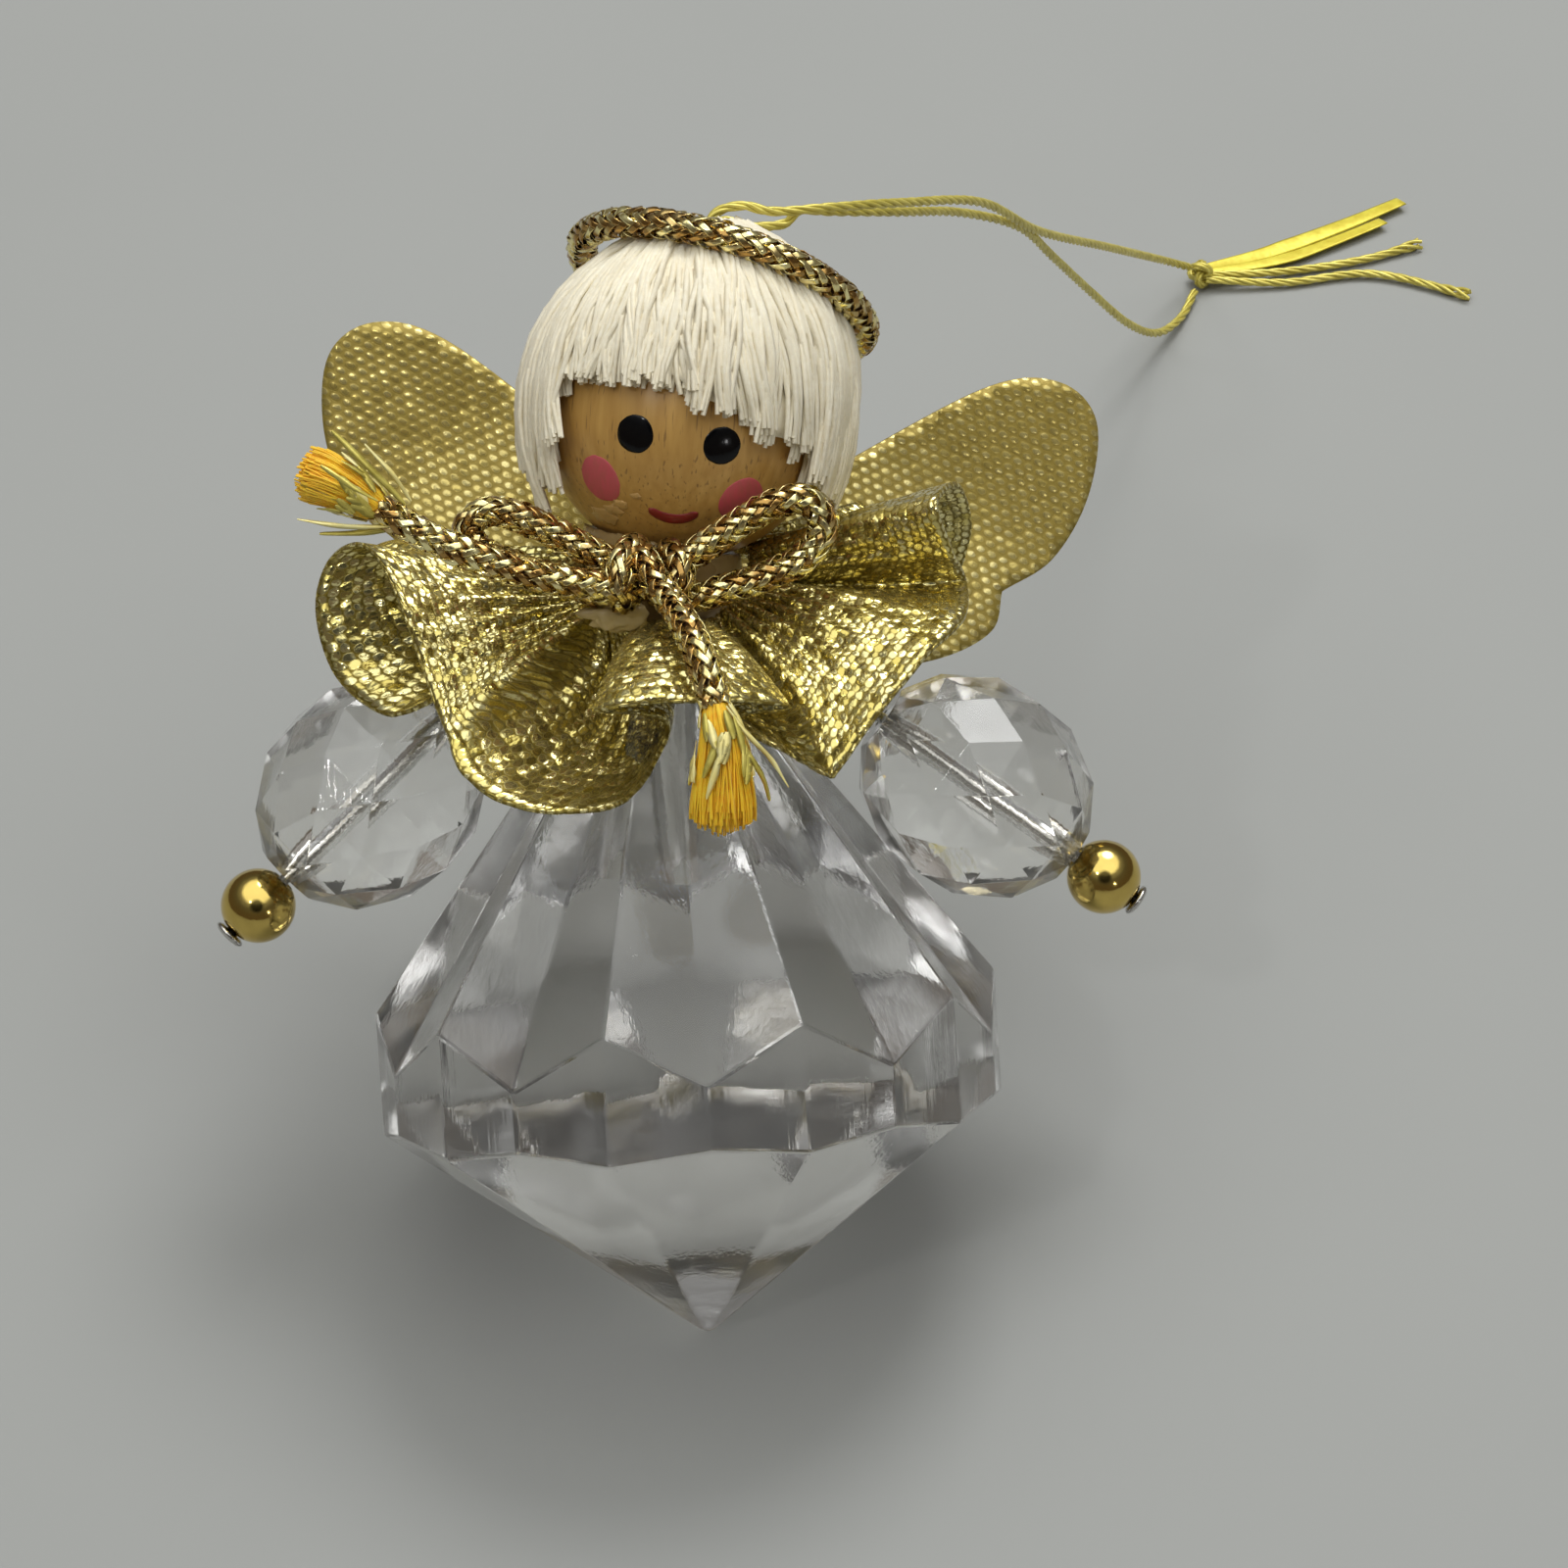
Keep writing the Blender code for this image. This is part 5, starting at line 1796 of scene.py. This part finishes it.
    def laid(self, points: Sequence[Triple], spacing: float) -> Line:
        """Lays a line through points measured from the front of the gathers."""
        front = Vector(self.front)
        return Line.through([self.layout.from_neck(Vector(point) + front) for point in points], spacing)

    @staticmethod
    def opened(share: float, reach: float, mouth: float = 0.75, kept: float = 0.6) -> float:
        """Gives the radius of a frayed end at a share of its length, from its mouth on."""
        return mouth + (reach - kept) * share ** 0.7

    @staticmethod
    def drawn_in(share: float, drop: float) -> float:
        """Gives the factor by which a frayed end closes again near its tip."""
        return 1.0 - drop * max(0.0, (share - 0.7) / 0.3) ** 2

    def build(self) -> None:
        """Builds the knot, the loops, the tails and the frayed ends."""
        self.build_knot()
        for node, points in self.cords.items():
            made = bmesh.new()
            self.braid.build(made, self.laid(points, self.braid.spacing))
            self.place_cord(node.replace("bow_", "bow_cord_"), made, node)
        for node, (points, reach) in self.tassels.items():
            self.build_tassel(node, self.laid(points, self.fray_step), reach)

    def place_cord(self, name: str, made: BMesh, node: str) -> None:
        """Places a length of braided cord."""
        place_piece(name, made, self.finishes.braid, Slot.BRAID, [node])

    def build_knot(self) -> None:
        """Builds the knot: the cord's turns round the crossing."""
        made = bmesh.new()
        for points in self.wraps:
            self.braid.build(made, self.laid(points, self.braid.spacing))
        self.place_cord("bow_cord_knot", made, "bow_knot")

    def build_tassel(self, node: str, line: Line, reach: float) -> None:
        """Builds a frayed end: filling fibres that open out, and loose foil strips among them.

        Args:
            node: CAD node that it stands for.
            line: Middle of the frayed end.
            reach: Radius that it opens to.
        """
        chance = random.Random(f"{node} {self.seed}")
        last = len(line.points) - 1
        strands = []
        for _ in range(self.fibres):
            angle = chance.uniform(0.0, TURN)
            spot = math.sqrt(chance.random())
            stop = round(last * chance.uniform(0.84, 1.0) * (1.0 - 0.1 * spot * spot))
            sway = chance.uniform(-0.5, 0.5)
            path = []
            for index in range(stop + 1):
                share = index / last
                radius = self.opened(share, reach) * self.drawn_in(share, 0.16) * spot
                path.append(line.points[index] + line.around(index, angle + sway * share) * radius)
            strands.append(Strand(path, [self.fibre_radius] * len(path)))
        made = bmesh.new()
        sides = 36

        def place(step: int, corner: int) -> Vector:
            share = step / (last - 2)
            angle = TURN * corner / sides
            ridge = 1.0 + 0.12 * math.sin(9 * angle) * math.cos(4 * angle)
            radius = self.opened(share, reach) * 0.8 * ridge * self.drawn_in(share, 0.3)
            return line.points[step] + line.around(step, angle) * radius

        mapped_grid(made, last - 2, sides, place)
        close_up(made)
        made.from_mesh(strand_mesh(node, strands, 0))
        for _ in range(self.strips):
            self.add_strip(made, chance, line, reach, self.shades[node])
        for number, stray in enumerate(self.strays[node]):
            loose = self.laid(stray, self.strip_step)
            facings = []
            for k in range(len(loose.points)):
                aside = 0.8 * math.sin(5.0 * number + 0.35 * k)
                facings.append(Vector((aside, -1.0, 0.5 + 0.7 * math.cos(3.0 * number + 0.3 * k))))
            self.flat_strip(made, loose, facings, 0.36 + 0.06 * (number % 3), 1 + (number % 3 > 0))
        finishes = [self.finishes.core, self.finishes.loose_foil, self.finishes.thread]
        place_piece(node + "_frayed", made, finishes, Slot.CORE, [node])

    def add_strip(
        self, made: BMesh, chance: random.Random, line: Line, reach: float, shades: Sequence[int],
    ) -> None:
        """Adds one loose foil strip, in one of some shades, to a frayed end that opens to a reach."""
        last = len(line.points) - 1
        angle = chance.uniform(0.0, TURN)
        start = round(last * chance.uniform(0.0, 0.42))
        stop = min(last, start + max(3, round(last * chance.uniform(0.16, 0.3))))
        sway = chance.uniform(-2.2, 2.2)
        curl = chance.uniform(-0.35, 0.35)
        points = []
        facings = []
        for index in range(start, stop + 1):
            share = index / last
            turn = angle + sway * (share - start / last)
            out = line.around(index, turn)
            points.append(line.points[index] + out * self.opened(share, reach, 0.95, 0.5))
            facings.append(line.around(index, turn + curl * (index - start - 1)))
        strip = Line.through(points, self.strip_step)
        stretch = (len(facings) - 1) / (len(strip.points) - 1)
        facings = [facings[round(k * stretch)] for k in range(len(strip.points))]
        self.flat_strip(made, strip, facings, chance.uniform(0.5, 0.75), chance.choice(shades))

    @staticmethod
    def flat_strip(made: BMesh, line: Line, facings: Sequence[Vector], width: float, material: int) -> None:
        """Adds a flat foil strip along a line, its flat side facing as given at each point."""
        section = ((-1.0, 0.0), (0.0, 1.0), (1.0, 0.0), (0.0, -1.0), (-1.0, 0.0))
        last = len(line.points) - 1

        def place(step: int, corner: int) -> Vector:
            aside = line.alongs[step].cross(facings[step]).normalized()
            wide, high = section[corner]
            wide *= 0.35 + 0.65 * math.sqrt(math.sin(math.pi * min(0.999, step / last)))
            up = aside.cross(line.alongs[step])
            return line.points[step] + aside * (wide * width / 2) + up * (0.03 * high)

        verts = mapped_grid(made, last, len(section) - 1, place)
        for found in faces_of(verts):
            found.material_index = material
        bmesh.ops.remove_doubles(made, verts=verts, dist=WELD)


@dataclass
class GlueJoints:
    """The set glue at the neck and behind the wings, and the patch that shows under the bow.

    Attributes:
        voxel: Size of the remesh that melts the solids' edges.
        patch: Middle of the patch, from the top of the neck.
    """

    finishes: Finishes
    layout: Layout
    nodes: dict[str, Object]
    voxel: float = 0.3
    patch: Triple = (-3.4, -8.2, 2.6)
    patch_size: Triple = (2.0, 0.8, 1.1)

    def build(self) -> None:
        """Builds the glue."""
        for node in ("neck_glue", "wing_glue"):
            self.melt(node)
        made = bmesh.new()
        bmesh.ops.create_uvsphere(made, u_segments=28, v_segments=14, radius=1.0)
        middle = self.layout.from_neck(self.patch)
        for vert in made.verts:
            lump = 1.0 + 0.55 * noise.noise(vert.co * 1.9 + Vector((4.0, 1.0, 2.0)))
            vert.co = middle + Vector(part * size * lump for part, size in zip(vert.co, self.patch_size))
        place_piece("glue_patch", made, [self.finishes.glue], Slot.GLUE)

    def melt(self, node: str) -> None:
        """Copies a packed glue solid with its edges run soft."""
        holder = added(node + "_holder", self.nodes[node].data.copy())
        remesh = holder.modifiers.new("melt", "REMESH")
        remesh.mode = "VOXEL"
        remesh.voxel_size = self.voxel * MM
        soften = holder.modifiers.new("soften", "SMOOTH")
        soften.iterations = 6
        mesh = taken_mesh(holder)
        mesh.materials.clear()
        mesh.shade_smooth()
        # The neck glue's finish carries painted shade under the chin as well as its amber tone.
        finish = self.finishes.neck_glue if node == "neck_glue" else self.finishes.glue
        place_piece(node + "_set", mesh, [finish], Slot.GLUE, [node])


@dataclass(frozen=True)
class PhotoCamera:
    """Camera at the photograph's viewing angle.

    Attributes:
        target: Point that it looks at, in metres of the CAD frame.
        azimuth: Turn to the right of the front.
        roll: Turn about the line of sight.
        nearest: Least distance that it shows.
    """

    target: Triple = (0.007684, 0.007741, 0.030573)
    distance: float = 0.3948
    azimuth: float = math.radians(-5.1126)
    elevation: float = math.radians(43.0984)
    roll: float = math.radians(-0.5514)
    lens: float = 131.4
    sensor: float = 36.0
    nearest: float = 0.01

    def build(self) -> None:
        """Adds the camera and makes it the scene's own."""
        data = bpy.data.cameras.new("photo_camera")
        data.lens = self.lens
        data.sensor_width = self.sensor
        data.clip_start = self.nearest
        camera = added("photo_camera", data)
        flat = math.cos(self.elevation)
        back = Vector((
            math.sin(self.azimuth) * flat, -math.cos(self.azimuth) * flat, math.sin(self.elevation),
        ))
        right = Vector((0.0, 0.0, 1.0)).cross(back).normalized()
        level = Matrix((right, back.cross(right), back)).transposed()
        camera.matrix_world = Matrix.Translation(Vector(self.target) + back * self.distance) @ (
            level @ Matrix.Rotation(self.roll, 3, "Z")
        ).to_4x4()
        bpy.context.scene.camera = camera


@dataclass(frozen=True)
class Stage:
    """Pale floor under a broad overhead light, with a dim surround.

    Attributes:
        lamps: Name, place, size and power of each soft lamp, all aimed at the ornament.
        surround: Height of a direction and the colour of the surround there.
        shade: Direction of the dark spot in front, the cosines where it starts and where it is full, and
            the share of the light that is left there.
    """

    floor_colour: Triple = (0.335, 0.342, 0.33)
    floor_size: float = 4.0
    floor_drop: float = 0.0001
    lamps: tuple[tuple[str, Triple, float, float], ...] = (
        ("overhead_lamp", (0.16, 0.30, 0.62), 0.34, 1.95),
        ("front_lamp", (-0.30, -0.35, 0.60), 0.05, 0.36),
        ("catch_lamp", (0.27, -0.46, 0.18), 0.04, 0.08),
    )
    aim: Triple = (0.0, 0.02, 0.03)
    surround: tuple[tuple[float, Triple], ...] = (
        (0.0, (0.115, 0.085, 0.06)), (0.3, (0.12, 0.10, 0.08)), (0.5, (0.13, 0.125, 0.12)),
        (0.7, (0.33, 0.33, 0.33)), (0.8, (1.55, 1.56, 1.54)), (1.0, (1.65, 1.66, 1.64)),
    )
    shade: tuple[Triple, float, float, float] = ((-0.065, -0.727, 0.683), 0.91, 0.965, 0.12)

    def build(self) -> None:
        """Builds the floor, the lamps and the world."""
        made = bmesh.new()
        bmesh.ops.create_grid(made, x_segments=4, y_segments=4, size=self.floor_size / 2)
        floor = added("floor", to_mesh("floor", made))
        floor.data.materials.append(self.floor_finish())
        floor.location.z = -self.floor_drop
        for name, place, size, power in self.lamps:
            self.add_lamp(name, Vector(place), size, power)
        self.build_world()
        bpy.context.scene.view_settings.view_transform = "Standard"

    def floor_finish(self) -> Material:
        """Builds the floor's matt grey."""
        nodes = FinishNodes("floor_grey")
        mottle = nodes.noise(nodes.place(), 0.02)
        shade = tuple(0.975 * part for part in self.floor_colour)
        return nodes.surface({
            "Base Color": nodes.tone(mottle, self.floor_colour, shade),
            "Roughness": 0.7,
            "Specular IOR Level": 0.25,
        })

    def add_lamp(self, name: str, place: Vector, size: float, power: float) -> None:
        """Adds one soft lamp."""
        data = bpy.data.lights.new(name, "AREA")
        data.shape = "DISK"
        data.size = size
        data.energy = power
        lamp = added(name, data)
        lamp.location = place
        lamp.rotation_euler = (place - Vector(self.aim)).to_track_quat("Z", "Y").to_euler()

    def build_world(self) -> None:
        """Builds the surround: a bright cap overhead, dim sides and a dark spot in front."""
        world = bpy.data.worlds.new("studio")
        world.use_nodes = True
        bpy.context.scene.world = world
        nodes = Nodes(world.node_tree)
        direction = nodes.add("TexCoord", {}, "Generated")
        colour = nodes.add("ValToRGB", {"Fac": nodes.add("SeparateXYZ", {0: direction}, "Z")}, "Color")
        stops = colour.node.color_ramp.elements
        while len(stops) < len(self.surround):
            stops.new(1.0)
        for stop, (height, shown) in zip(stops, self.surround):
            stop.position = height
            stop.color = opaque(shown)
        way, near, full, left = self.shade
        facing = nodes.add("VectorMath", {0: direction, 1: way}, "Value", operation="DOT_PRODUCT")
        background = nodes.tree.nodes["Background"]
        nodes.feed(background.inputs["Color"], colour)
        dim = nodes.add("MapRange", {0: facing, 1: near, 2: full, 3: 1.0, 4: left})
        nodes.feed(background.inputs["Strength"], dim)


def main() -> None:
    """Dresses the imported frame, piece by piece."""
    logging.basicConfig(level=logging.INFO, format="%(name)s: %(message)s")
    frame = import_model()
    nodes = frame["nodes"]
    joints = {joint["name"]: joint for joint in frame["joints"]}
    layout = Layout.from_nodes(nodes)
    finishes = Finishes(layout.head_turn)
    PhotoCamera().build()
    Stage().build()
    HangingThread(finishes).build()
    ClearBeads(finishes, nodes, joints).build()
    for hand, pin_length in ((Body.LEFT_HAND, 35.1), (Body.RIGHT_HAND, 34.3)):
        PinnedHand(finishes, hand, joints[hand.value + "_spin"], pin_length).build()
    GlueJoints(finishes, layout, nodes).build()
    PaintedHead(finishes, layout).build()
    YarnHair(finishes, layout).build()
    Halo(finishes, layout).build()
    Collar(finishes, layout).build()
    Wings(finishes, layout).build()
    Bow(finishes, layout).build()


if __name__ == "__main__":
    main()
